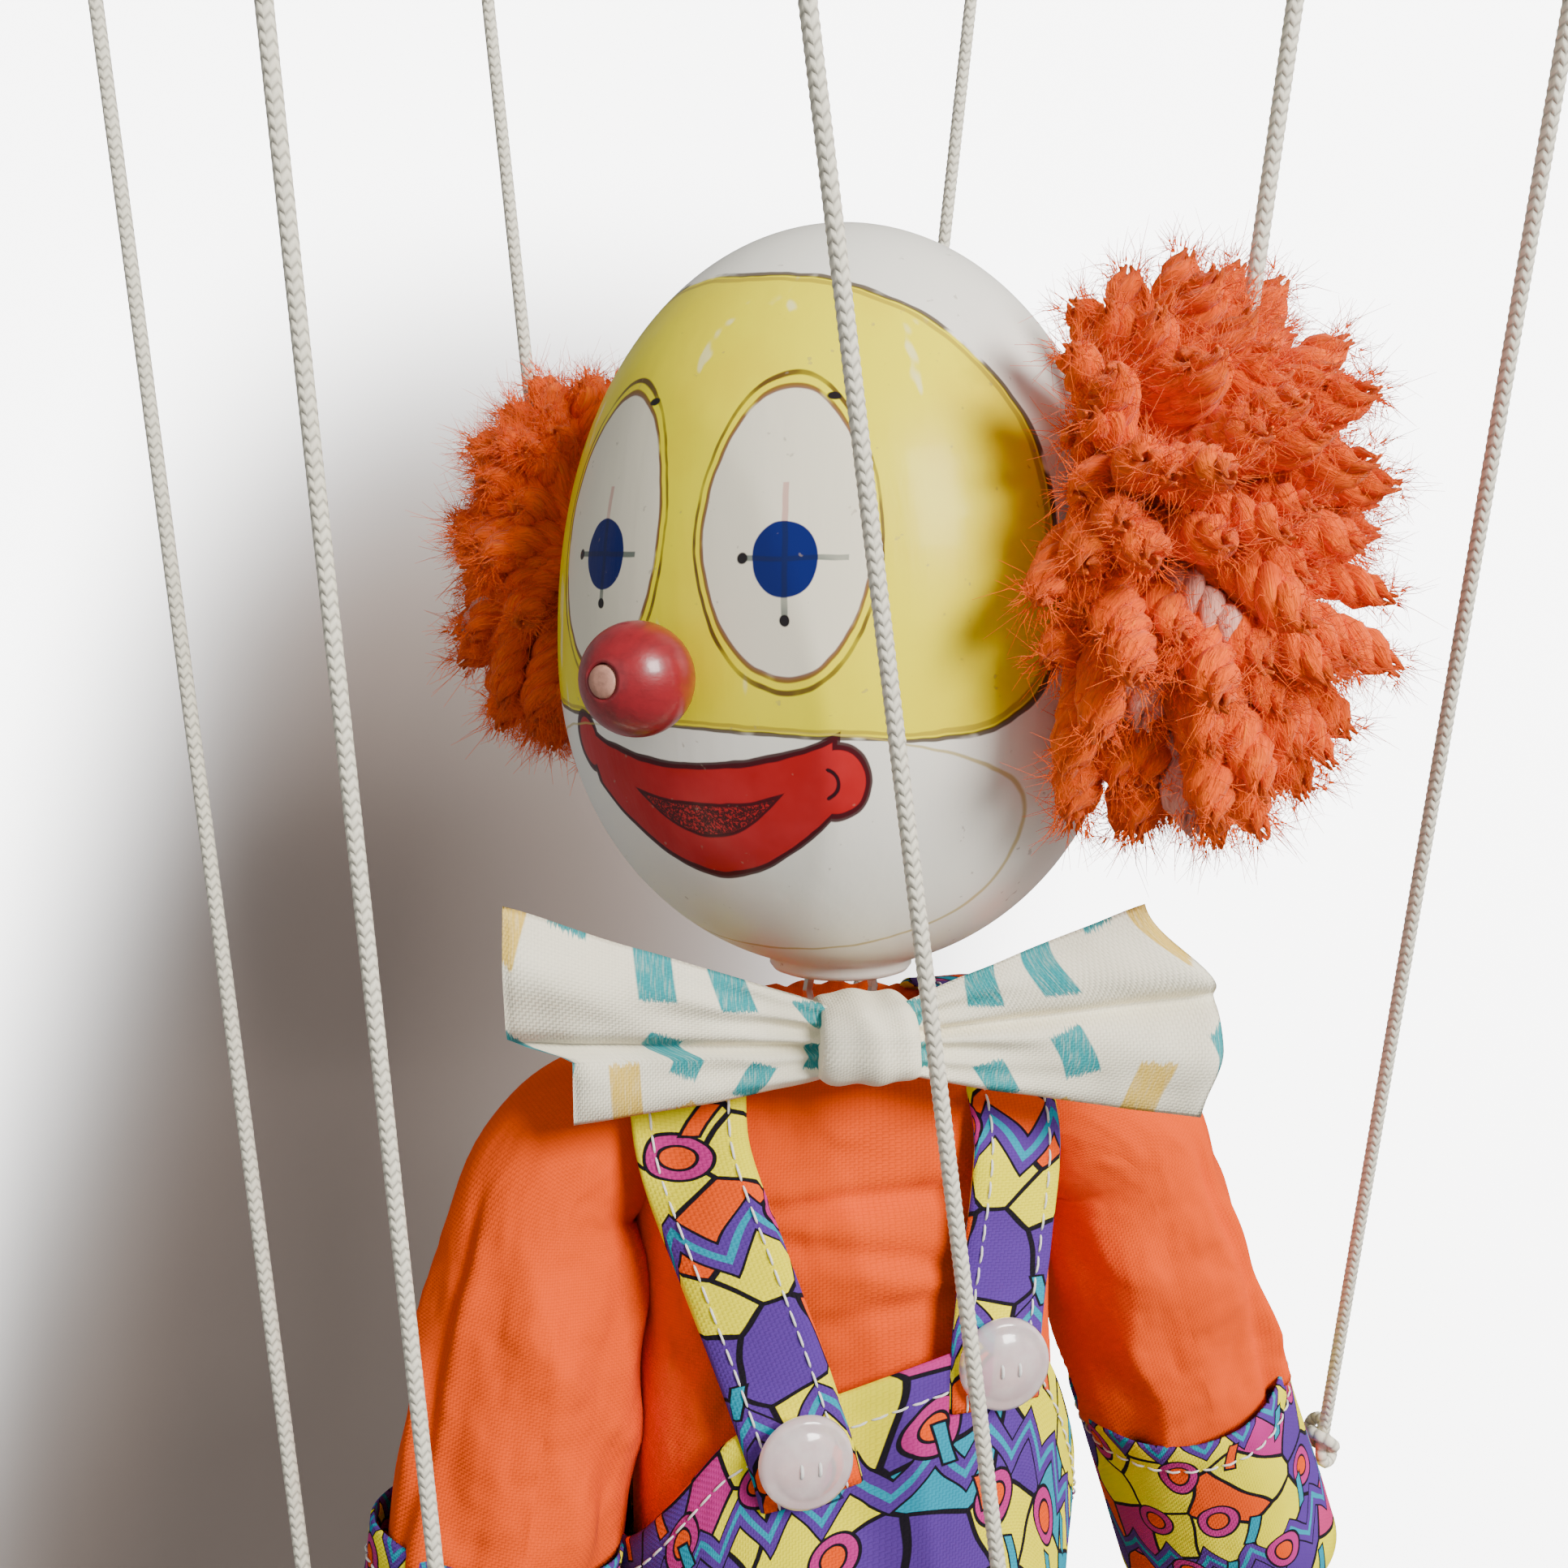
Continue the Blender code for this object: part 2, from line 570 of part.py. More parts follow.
def build_strap(side, sign):
    """One strap as a flat ribbon from the bib over the shoulder to the back, with its button on the bib."""
    front, back = strap_lines(side, sign)
    top_x = STRAP_SHOULDER_X[side]
    crown = surface_y(top_x, TORSO_TOP, SHIRT_OUT)
    rings = [strap_ring(x, z, -1, sign) for x, z in front]
    rings += [shoulder_ring(top_x, -crown, sign), shoulder_ring(top_x, crown, sign)]
    rings += [strap_ring(x, z, 1, sign) for x, z in back]
    place(f"{side}_strap", loft(rings), PRINT_COTTON, body_pivot)
    button = turned([(BUTTON_RADIUS * 0.86, 0), (BUTTON_RADIUS, BUTTON_THICK * 0.3),
                     (BUTTON_RADIUS * 0.9, BUTTON_THICK * 0.65), (BUTTON_RADIUS * 0.55, BUTTON_THICK)])
    foot_x, foot_z = front[0]
    seat_y = -(surface_y(foot_x - STRAP_WIDTH / 2, foot_z, BIB_OUT) + STRAP_THICK + 3 * GAP)
    lay = Matrix.Translation((sign * foot_x, seat_y, foot_z)) @ Matrix.Rotation(math.pi / 2, 4, "X")
    bmesh.ops.transform(button, matrix=lay, verts=button.verts)
    place(f"{side}_strap_button", button, CLEAR_PLASTIC, body_pivot)


def build_bow():
    """The bow tie: two flared wings and the knot round their waist, turned to the figure's right."""
    bow_pivot = empty("bow_pivot", (0, 0, HEAD_Z), BOW_TURN)
    back_y = -(surface_y(0, TORSO_TOP, SHIRT_OUT * COLLAR_LEAN) + GAP)
    wing_y = back_y - BOW_STAND - BOW_THICK / 2
    steps = 12
    rings = []
    for i in range(steps + 1):
        across = -1 + 2 * i / steps
        half_z = BOW_HEIGHT / 2 * (BOW_WAIST + (1 - BOW_WAIST) * min(1.0, abs(across) * 1.25) ** 0.8)
        half_y = BOW_THICK / 2 * (0.55 + 0.45 * min(1.0, abs(across) * 2))
        ring = oval(half_y, half_z, 0, 2.6, 16)
        rings.append([Vector((across * BOW_WIDTH / 2, wing_y + p.x, BOW_Z + p.y)) for p in ring])
    place("bow_tie_wings", loft(rings), CREAM_COTTON, bow_pivot)
    low = Vector((-KNOT_WIDTH / 2, wing_y - BOW_THICK / 2 - KNOT_WALL, BOW_Z - KNOT_HEIGHT / 2 - KNOT_WALL))
    high = Vector((KNOT_WIDTH / 2, back_y, BOW_Z + KNOT_HEIGHT / 2 + KNOT_WALL))
    knot = place("bow_tie_knot", knot_band(low, high), CREAM_COTTON, bow_pivot)
    hole = []
    for ring in rings:
        middle = sum(ring, Vector()) / len(ring)
        hole.append([p + (p - middle).normalized() * 1.5 * GAP for p in ring])
    combine(knot, loft(hole))


def knot_band(low, high):
    """A rounded block for the bow's knot, before the wings' waist is cut from it."""
    middle = (low + high) / 2
    half = (high - low) / 2
    rings = []
    for share, size in ((-1, 0.88), (-0.7, 1.0), (0.7, 1.0), (1, 0.88)):
        ring = oval(half.y * size, half.z * size, 0, 3.0, 20)
        rings.append([Vector((middle.x + half.x * share, middle.y + p.x, middle.z + p.y)) for p in ring])
    return loft(rings)


def limb_pivot(name, place_at, swing, spread):
    """A pivot on a joint axis whose -Z runs down the limb."""
    made = empty(name, place_at)
    made.matrix_world @= Matrix.Rotation(-swing, 4, "X") @ Matrix.Rotation(-spread, 4, "Y")
    return made


def limb_rod(radius, top, length, count=16):
    """A round-ended wooden rod down -Z, from top above the pivot to length below it."""
    profile = [(radius * 0.55, -length), (radius, -length + radius * 0.5), (radius, top - radius * 0.5),
               (radius * 0.55, top)]
    return turned(profile, count)


def cross_hole(pivot, drop, radius, length):
    """A hole or pin along the world's X axis, in the frame of a limb's pivot, drop below it."""
    middle = Vector((0, 0, -drop))
    along = pivot.matrix_world.to_3x3().inverted() @ X_AXIS
    return rod(middle - along * length, middle + along * length, radius)


def slot_box(pivot, drop, radius, thick):
    """A slot in a limb's end, square to the world's X axis and centred on the pin that lies drop below."""
    block = box((-thick / 2, -2 * radius, -4 * radius), (thick / 2, 2 * radius, radius))
    level = pivot.matrix_world.to_3x3().inverted().to_4x4()
    bmesh.ops.transform(block, matrix=Matrix.Translation((0, 0, -drop)) @ level, verts=block.verts)
    return block


def build_arm(side, sign):
    """One arm: its rod on the shoulder wire, the sleeve and cuff, and the hand on its wrist pin."""
    shoulder = Vector((sign * SHOULDER_X, 0, HEAD_Z + SHOULDER_Z))
    pivot = limb_pivot(f"{side}_arm_pivot", shoulder, ARM_SWING[side], sign * ARM_SPREAD[side])
    arm = place(f"{side}_arm", limb_rod(ARM_RADIUS, ARM_RADIUS, ARM_LENGTH + ARM_RADIUS), BARE_WOOD, pivot)
    combine(arm, cross_hole(pivot, 0, WIRE_RADIUS + BORE_CLEARANCE, 2 * ARM_RADIUS))
    slot = ARM_TONGUE_THICK + 2 * GAP
    combine(arm, slot_box(pivot, ARM_LENGTH, ARM_RADIUS, slot))
    combine(arm, cross_hole(pivot, ARM_LENGTH, PIN_RADIUS + BORE_CLEARANCE, 2 * ARM_RADIUS))
    wrist_pin = cross_hole(pivot, ARM_LENGTH, PIN_RADIUS, ARM_RADIUS * PIN_SHARE)
    place(f"{side}_wrist_pin", wrist_pin, STEEL, pivot)
    inner = ARM_RADIUS + GAP
    sleeve_outer = [oval(r, r, z) for r, z in ((SLEEVE_RADIUS * 0.55, SLEEVE_TOP), (SLEEVE_RADIUS * 0.85, 0),
                                              (SLEEVE_RADIUS, -SLEEVE_LENGTH / 3),
                                              (SLEEVE_RADIUS * 1.05, -SLEEVE_LENGTH))]
    sleeve_inner = [oval(inner, inner, ring[0].z) for ring in sleeve_outer]
    sleeve = place(f"{side}_sleeve", shell(sleeve_outer, sleeve_inner), ORANGE_COTTON, pivot)
    body = loft(cloth_rings(BIB_OUT + GAP, [BIB_BOTTOM, *SHOULDER_LEVELS[::-1], SHIRT_TOP]))
    to_arm = pivot.matrix_world.inverted() @ Matrix.Translation((0, 0, HEAD_Z))
    bmesh.ops.transform(body, matrix=to_arm, verts=body.verts)
    combine(sleeve, body)
    combine(sleeve, cross_hole(pivot, 0, WIRE_CAP_RADIUS + BORE_CLEARANCE, 2 * SLEEVE_RADIUS))
    cuff_top = -SLEEVE_LENGTH - GAP
    cuff_foot = cuff_top - CUFF_LENGTH
    cuff_outer = [oval(r, r, z) for r, z in ((CUFF_RADIUS * 0.96, cuff_top), (CUFF_RADIUS, cuff_foot))]
    cuff_inner = [oval(inner, inner, ring[0].z) for ring in cuff_outer]
    place(f"{side}_cuff", shell(cuff_outer, cuff_inner), PRINT_COTTON, pivot)
    build_hand(side, pivot)


def build_hand(side, arm_pivot):
    """A mitten hand that hangs from the wrist pin, with its thumb to the front."""
    wrist = arm_pivot.matrix_world @ Vector((0, 0, -ARM_LENGTH))
    pivot = limb_pivot(f"{side}_hand_pivot", wrist, 0, 0)
    root = ARM_RADIUS * END_ROOM + GAP
    rings = []
    for share, size in ((0, 0.55), (0.18, 0.85), (0.45, 1.0), (0.75, 0.86), (0.93, 0.55), (1, 0.25)):
        rings.append(oval(HAND_HALF[0] * size, HAND_HALF[1] * size, -root - share * HAND_LENGTH, 2.4, 20))
    hand = place(f"{side}_hand", loft(rings), WHITE_GLOSS, pivot)
    half = ARM_TONGUE_THICK / 2
    width = ARM_RADIUS * TONGUE_SHARE
    tongue = box((-half, -width, -root - HAND_LENGTH / 3), (half, width, ARM_RADIUS * 0.5))
    combine(hand, tongue, "UNION")
    thumb_root = Vector((0, -HAND_HALF[1] * 0.5, -root - HAND_LENGTH * 0.32))
    thumb_tip = Vector((0, -HAND_HALF[1] * 1.35, -root - HAND_LENGTH * 0.62))
    combine(hand, rod(thumb_root, thumb_tip, HAND_HALF[0] * 0.48), "UNION")
    combine(hand, rod(X_AXIS * -ARM_RADIUS, X_AXIS * ARM_RADIUS, PIN_RADIUS + BORE_CLEARANCE))


def build_leg(side, sign):
    """One leg: thigh on the hip wire, shin on the knee pin and shoe on the ankle pin, in trouser cloth."""
    hip = Vector((sign * HIP_X, 0, HEAD_Z + HIP_Z))
    thigh_pivot = limb_pivot(f"{side}_thigh_pivot", hip, 0, sign * LEG_SPREAD)
    thigh = place(f"{side}_thigh", limb_rod(THIGH_RADIUS, THIGH_RADIUS, THIGH_LENGTH + THIGH_RADIUS),
                  BARE_WOOD, thigh_pivot)
    combine(thigh, cross_hole(thigh_pivot, 0, WIRE_RADIUS + BORE_CLEARANCE, 2 * THIGH_RADIUS))
    slot = LEG_TONGUE_THICK + 2 * GAP
    combine(thigh, slot_box(thigh_pivot, THIGH_LENGTH, THIGH_RADIUS, slot))
    combine(thigh, cross_hole(thigh_pivot, THIGH_LENGTH, PIN_RADIUS + BORE_CLEARANCE, 2 * THIGH_RADIUS))
    knee_pin = cross_hole(thigh_pivot, THIGH_LENGTH, PIN_RADIUS, THIGH_RADIUS * PIN_SHARE)
    place(f"{side}_knee_pin", knee_pin, STEEL, thigh_pivot)
    inner = THIGH_RADIUS + GAP
    thigh_outer = [oval(r, r, z) for r, z in ((TROUSER_RADIUS * 0.92, -TROUSER_TOP_DROP),
                                             (TROUSER_RADIUS, -THIGH_LENGTH - TROUSER_OVERHANG))]
    thigh_inner = [oval(inner, inner, ring[0].z) for ring in thigh_outer]
    place(f"{side}_trouser_thigh", shell(thigh_outer, thigh_inner), PRINT_COTTON, thigh_pivot)
    knee = thigh_pivot.matrix_world @ Vector((0, 0, -THIGH_LENGTH))
    build_shin(side, knee)


def build_shin(side, knee):
    """The shin with its tongues at the knee and the ankle, the trouser leg's lower half and the shoe."""
    pivot = limb_pivot(f"{side}_shin_pivot", knee, 0, 0)
    root = THIGH_RADIUS * END_ROOM + GAP
    width = SHIN_RADIUS * TONGUE_SHARE
    foot = -SHIN_LENGTH + SHIN_RADIUS
    profile = [(width, foot), (SHIN_RADIUS, foot + SHIN_RADIUS / 2),
               (SHIN_RADIUS, -root - SHIN_RADIUS / 2), (width, -root)]
    shin = place(f"{side}_shin", turned(profile, 16), BARE_WOOD, pivot)
    half = LEG_TONGUE_THICK / 2
    knee_tongue = box((-half, -width, -root - SHIN_RADIUS), (half, width, THIGH_RADIUS * TONGUE_SHARE))
    combine(shin, knee_tongue, "UNION")
    ankle_tongue = box((-half, -width, -SHIN_LENGTH - width), (half, width, foot + SHIN_RADIUS))
    combine(shin, ankle_tongue, "UNION")
    for drop in (0, SHIN_LENGTH):
        combine(shin, cross_hole(pivot, drop, PIN_RADIUS + BORE_CLEARANCE, 2 * SHIN_RADIUS))
    inner = SHIN_RADIUS + GAP
    hem = -SHIN_LENGTH + HEM_ABOVE_ANKLE
    shin_outer = [oval(r, r, z) for r, z in ((TROUSER_RADIUS, -root - 2 * GAP), (TROUSER_HEM_RADIUS, hem))]
    shin_inner = [oval(inner, inner, ring[0].z) for ring in shin_outer]
    place(f"{side}_trouser_shin", shell(shin_outer, shin_inner), PRINT_COTTON, pivot)
    ankle = pivot.matrix_world @ Vector((0, 0, -SHIN_LENGTH))
    build_shoe(side, ankle)


def build_shoe(side, ankle):
    """A round-toed wooden shoe with a slot for the shin's tongue."""
    pivot = limb_pivot(f"{side}_shoe_pivot", ankle, 0, 0)
    sole = -ANKLE_ABOVE_SOLE
    middle_y = SHOE_HEEL - SHOE_LENGTH / 2
    rings = []
    for share, size in ((0, 1.0), (0.15, 1.03), (0.45, 1.0), (0.75, 0.86), (0.93, 0.62), (1.0, 0.35)):
        middle = (0, middle_y + (1 - size) * SHOE_LENGTH * SHOE_LEAN)
        height = sole + share * SHOE_HEIGHT
        rings.append(oval(SHOE_WIDTH / 2 * size, SHOE_LENGTH / 2 * size, height, 2.3, 24, middle))
    shoe = place(f"{side}_shoe", loft(rings), RED_GLOSS, pivot)
    slot = LEG_TONGUE_THICK / 2 + GAP
    width = SHIN_RADIUS
    combine(shoe, box((-slot, -width, -SHIN_RADIUS), (slot, width, SHOE_HEIGHT)))
    combine(shoe, rod(X_AXIS * -SHOE_WIDTH, X_AXIS * SHOE_WIDTH, PIN_RADIUS + BORE_CLEARANCE))
    reach = X_AXIS * SHOE_WIDTH * 0.3
    place(f"{side}_ankle_pin", rod(-reach, reach, PIN_RADIUS), STEEL, pivot)


CROSS_BARS = (("head_bar", 0.0, HEAD_HOLE), ("hand_bar", -HAND_BAR_AHEAD, HAND_HOLE),
              ("leg_bar", -LEG_BAR_AHEAD, LEG_HOLE))
CROSS_TOP = -BAR_THICK - GAP
CROSS_FOOT = CROSS_TOP - CROSS_THICK


def build_control():
    """The control: a main bar with three cross bars screwed on from below."""
    main = place("main_bar", box((-BAR_WIDTH / 2, -BAR_FRONT, -BAR_THICK), (BAR_WIDTH / 2, BAR_REAR, 0)),
                 BARE_WOOD, control_pivot)
    seat_hole = Vector((0, SEAT_HOLE_BEHIND, 0))
    combine(main, rod(seat_hole - UP * 2 * BAR_THICK, seat_hole + UP * GAP, CORD_HOLE / 2))
    for name, along, hole in CROSS_BARS:
        low = (-hole - CROSS_END, along - CROSS_WIDTH / 2, CROSS_FOOT)
        high = (hole + CROSS_END, along + CROSS_WIDTH / 2, CROSS_TOP)
        bar = place(name, box(low, high), BARE_WOOD, control_pivot)
        for _, sign in SIDES:
            foot = Vector((sign * hole, along, CROSS_FOOT - GAP))
            combine(bar, rod(foot, foot + UP * 2 * CROSS_THICK, CORD_HOLE / 2))
        seat = Vector((0, along, CROSS_FOOT - GAP))
        tip = Vector((0, along, CROSS_TOP + SCREW_DEPTH))
        bore = rod(seat, tip + UP * BORE_CLEARANCE, SCREW_RADIUS + BORE_CLEARANCE)
        combine(bar, bore.copy())
        combine(main, bore)
        rim = seat.z - SCREW_HEAD_THICK / 2
        profile = [(SCREW_HEAD_RADIUS * 0.7, seat.z - SCREW_HEAD_THICK), (SCREW_HEAD_RADIUS, rim),
                   (SCREW_HEAD_RADIUS, seat.z), (SCREW_RADIUS, seat.z), (SCREW_RADIUS, tip.z)]
        screw = turned(profile, 16)
        bmesh.ops.translate(screw, vec=(0, along, 0), verts=screw.verts)
        place(f"{name}_screw", screw, STEEL, control_pivot)


def cord(name, start, end):
    """One taut cord between two points of the world, as a round tube."""
    curve = bpy.data.curves.new(name, "CURVE")
    curve.dimensions = "3D"
    curve.bevel_depth = CORD_DIAMETER / 2
    curve.bevel_resolution = 2
    curve.use_fill_caps = True
    line = curve.splines.new("POLY")
    line.points.add(CORD_POINTS - 1)
    for i, point in enumerate(line.points):
        point.co = (*start.lerp(end, i / (CORD_POINTS - 1)), 1)
    curve.materials.append(WHITE_CORD)
    made = bpy.data.objects.new(name, curve)
    bpy.context.collection.objects.link(made)


def build_cords():
    """The seven cords, from the control's holes to the ears, wrists, knees and seat."""
    turn = Matrix.Rotation(HEAD_TURN, 3, "Z")
    under_cross = CROSS_FOOT - GAP
    for side, sign in SIDES:
        ear_top = EAR_HEIGHT + EYE_RING_RADIUS + EYE_WIRE_RADIUS + GAP
        ear = turn @ Vector((sign * EAR_REACH, 0, 0)) + Vector((0, 0, HEAD_Z + ear_top))
        cord(f"{side}_head_cord", turn @ Vector((sign * HEAD_HOLE, 0, under_cross)), ear)
        arm = bpy.data.objects[f"{side}_arm_pivot"].matrix_world
        cuff_side = CUFF_RADIUS + GAP + CORD_DIAMETER
        wrist = arm @ Vector((sign * cuff_side, 0, -SLEEVE_LENGTH - CUFF_LENGTH * 0.8))
        cord(f"{side}_hand_cord", turn @ Vector((sign * HAND_HOLE, -HAND_BAR_AHEAD, under_cross)), wrist)
        thigh = bpy.data.objects[f"{side}_thigh_pivot"].matrix_world
        front = TROUSER_RADIUS + GAP + CORD_DIAMETER
        out = KNEE_CORD_TURN[side]
        drop = THIGH_LENGTH - KNEE_CORD_RISE
        knee = thigh @ Vector((sign * front * math.sin(out), -front * math.cos(out), -drop))
        cord(f"{side}_knee_cord", turn @ Vector((sign * LEG_HOLE, -LEG_BAR_AHEAD, under_cross)), knee)
    seat_out = surface_y(0, SEAT_EYE_Z, BIB_OUT) + GAP + 2 * EYE_WIRE_RADIUS + EYE_RING_RADIUS
    seat_top = SEAT_EYE_Z + EYE_RING_RADIUS + EYE_WIRE_RADIUS + 2 * GAP
    seat = Vector((0, seat_out, HEAD_Z + seat_top))
    cord("seat_cord", turn @ Vector((0, SEAT_HOLE_BEHIND, -BAR_THICK - GAP)), seat)


build_head()
build_torso()
for side_name, side_sign in SIDES:
    build_arm(side_name, side_sign)
    build_leg(side_name, side_sign)
build_control()
bpy.context.view_layer.update()
build_cords()
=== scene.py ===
"""Clown marionette: the dressed and painted figure, its cords and its control, laid out as an add-on.

Shapes are written in millimetres, in frames whose heights are measured from the head's middle.
"""
import math
import random

import bmesh
import bpy
from mathutils import Matrix, Vector, noise


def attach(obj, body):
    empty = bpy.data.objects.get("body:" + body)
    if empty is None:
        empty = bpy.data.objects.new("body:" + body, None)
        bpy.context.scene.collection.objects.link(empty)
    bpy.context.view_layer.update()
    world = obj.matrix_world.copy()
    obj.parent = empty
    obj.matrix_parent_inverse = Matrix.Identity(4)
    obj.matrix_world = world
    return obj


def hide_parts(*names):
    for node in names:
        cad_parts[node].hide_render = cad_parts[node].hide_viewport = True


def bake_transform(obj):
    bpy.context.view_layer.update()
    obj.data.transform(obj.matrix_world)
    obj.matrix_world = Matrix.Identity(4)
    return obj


bl_info = {
    "name": "Clown Marionette",
    "version": (1, 0, 0),
    "blender": (4, 5, 0),
    "location": "View3D > Sidebar > Marionette",
    "description": "Dresses, paints and strings a jointed clown marionette",
    "category": "Add Mesh",
}

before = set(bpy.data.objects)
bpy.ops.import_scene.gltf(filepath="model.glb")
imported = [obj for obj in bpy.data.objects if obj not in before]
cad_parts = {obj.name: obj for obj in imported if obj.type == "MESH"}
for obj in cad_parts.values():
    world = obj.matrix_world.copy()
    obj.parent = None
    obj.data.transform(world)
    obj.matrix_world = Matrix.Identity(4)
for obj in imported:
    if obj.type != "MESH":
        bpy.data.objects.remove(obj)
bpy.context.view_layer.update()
SIDES = (("right", -1), ("left", 1))
UP = Vector((0, 0, 1))
MM = 0.001
FULL_TURN = 2 * math.pi
CURVE_STEPS = 24
TINY = 1e-9

# Frames of the figure, in metres
HEAD_Z = -0.278
HEAD_TURN = math.radians(-48)
BOW_TURN = math.radians(-10)
FIGURE = Matrix.Translation((0, 0, HEAD_Z))
HEAD = FIGURE @ Matrix.Rotation(HEAD_TURN, 4, "Z")
BOW = FIGURE @ Matrix.Rotation(BOW_TURN, 4, "Z")
ARM_SWING = {"right": 2, "left": -12}
ARM_SPREAD = {"right": 10, "left": 22}

# Joints: distance from the middle plane and height, in metres
SHOULDER = (0.0325, -0.337253)
ANKLE = (0.030808, -0.586596)
WRIST_DROP = 0.086


def limb_frame(place, swing, spread):
    """A frame on a joint whose -Z runs down the limb; angles in degrees."""
    turn = Matrix.Rotation(math.radians(-swing), 4, "X") @ Matrix.Rotation(math.radians(-spread), 4, "Y")
    return Matrix.Translation(place) @ turn


ARM = {}
SHOE = {}
HAND = {}
for side_name, side_sign in SIDES:
    ARM[side_name] = limb_frame((side_sign * SHOULDER[0], 0, SHOULDER[1]), ARM_SWING[side_name],
                                side_sign * ARM_SPREAD[side_name])
    SHOE[side_name] = Matrix.Translation((side_sign * ANKLE[0], 0, ANKLE[1]))
    HAND[side_name] = Matrix.Translation(ARM[side_name] @ Vector((0, 0, -WRIST_DROP)))


class FigureSizes(bpy.types.PropertyGroup):
    """Sizes that a maker would change."""
    cord_diameter: bpy.props.FloatProperty(
        name="Cord", description="Thickness of the braided cords", default=0.0017, unit="LENGTH")
    yarn_diameter: bpy.props.FloatProperty(
        name="Yarn", description="Thickness of one strand of hair yarn", default=0.0046, unit="LENGTH")
    yarn_strands: bpy.props.IntProperty(
        name="Strands", description="Strands of yarn in each tuft", default=140, min=8)
    stitch_pitch: bpy.props.FloatProperty(
        name="Stitch", description="Distance from one stitch to the next", default=0.0024, unit="LENGTH")
    weave_pitch: bpy.props.FloatProperty(
        name="Weave", description="Distance between threads of the cotton", default=0.00032, unit="LENGTH")
    line_width: bpy.props.FloatProperty(
        name="Painted line", description="Width of the lines drawn on the face", default=0.00055,
        unit="LENGTH")


def colour(name, words, value):
    """A colour that a user can set."""
    return bpy.props.FloatVectorProperty(
        name=name, description=words, default=value, size=3, subtype="COLOR", min=0, max=1)


class FigureColours(bpy.types.PropertyGroup):
    """Paints, dyes and stains."""
    white: colour("White", "Gloss paint of the head and hands", (0.93, 0.90, 0.80))
    yellow: colour("Yellow", "Painted mask of the face", (0.93, 0.81, 0.0))
    red: colour("Red", "Painted mouth and shoes", (0.45, 0.010, 0.012))
    blue: colour("Blue", "Painted pupils", (0.002, 0.010, 0.125))
    nose: colour("Nose", "Red stain of the bead", (0.27, 0.010, 0.016))
    orange: colour("Orange", "Dyed cotton of the shirt", (0.88, 0.082, 0.0))
    yarn: colour("Yarn", "Dyed yarn of the hair", (1.0, 0.122, 0.0))
    cream: colour("Cream", "Cotton of the bow tie", (0.93, 0.86, 0.66))
    purple: colour("Purple", "Print", (0.098, 0.035, 0.265))
    magenta: colour("Magenta", "Print", (0.50, 0.028, 0.21))
    teal: colour("Teal", "Print", (0.010, 0.30, 0.42))
    cord: colour("Cord", "Braided cord", (0.87, 0.82, 0.66))
    wood: colour("Wood", "Bare wood", (0.56, 0.36, 0.18))


class Value:
    """A shader socket that takes Python's operators."""

    def __init__(self, finish, socket):
        self.finish = finish
        self.socket = socket

    def __add__(self, other):
        return self.finish.math("ADD", self, other)

    def __radd__(self, other):
        return self.finish.math("ADD", other, self)

    def __sub__(self, other):
        return self.finish.math("SUBTRACT", self, other)

    def __rsub__(self, other):
        return self.finish.math("SUBTRACT", other, self)

    def __mul__(self, other):
        return self.finish.math("MULTIPLY", self, other)

    def __rmul__(self, other):
        return self.finish.math("MULTIPLY", other, self)

    def __truediv__(self, other):
        return self.finish.math("DIVIDE", self, other)

    def __rtruediv__(self, other):
        return self.finish.math("DIVIDE", other, self)

    def __pow__(self, other):
        return self.finish.math("POWER", self, other)


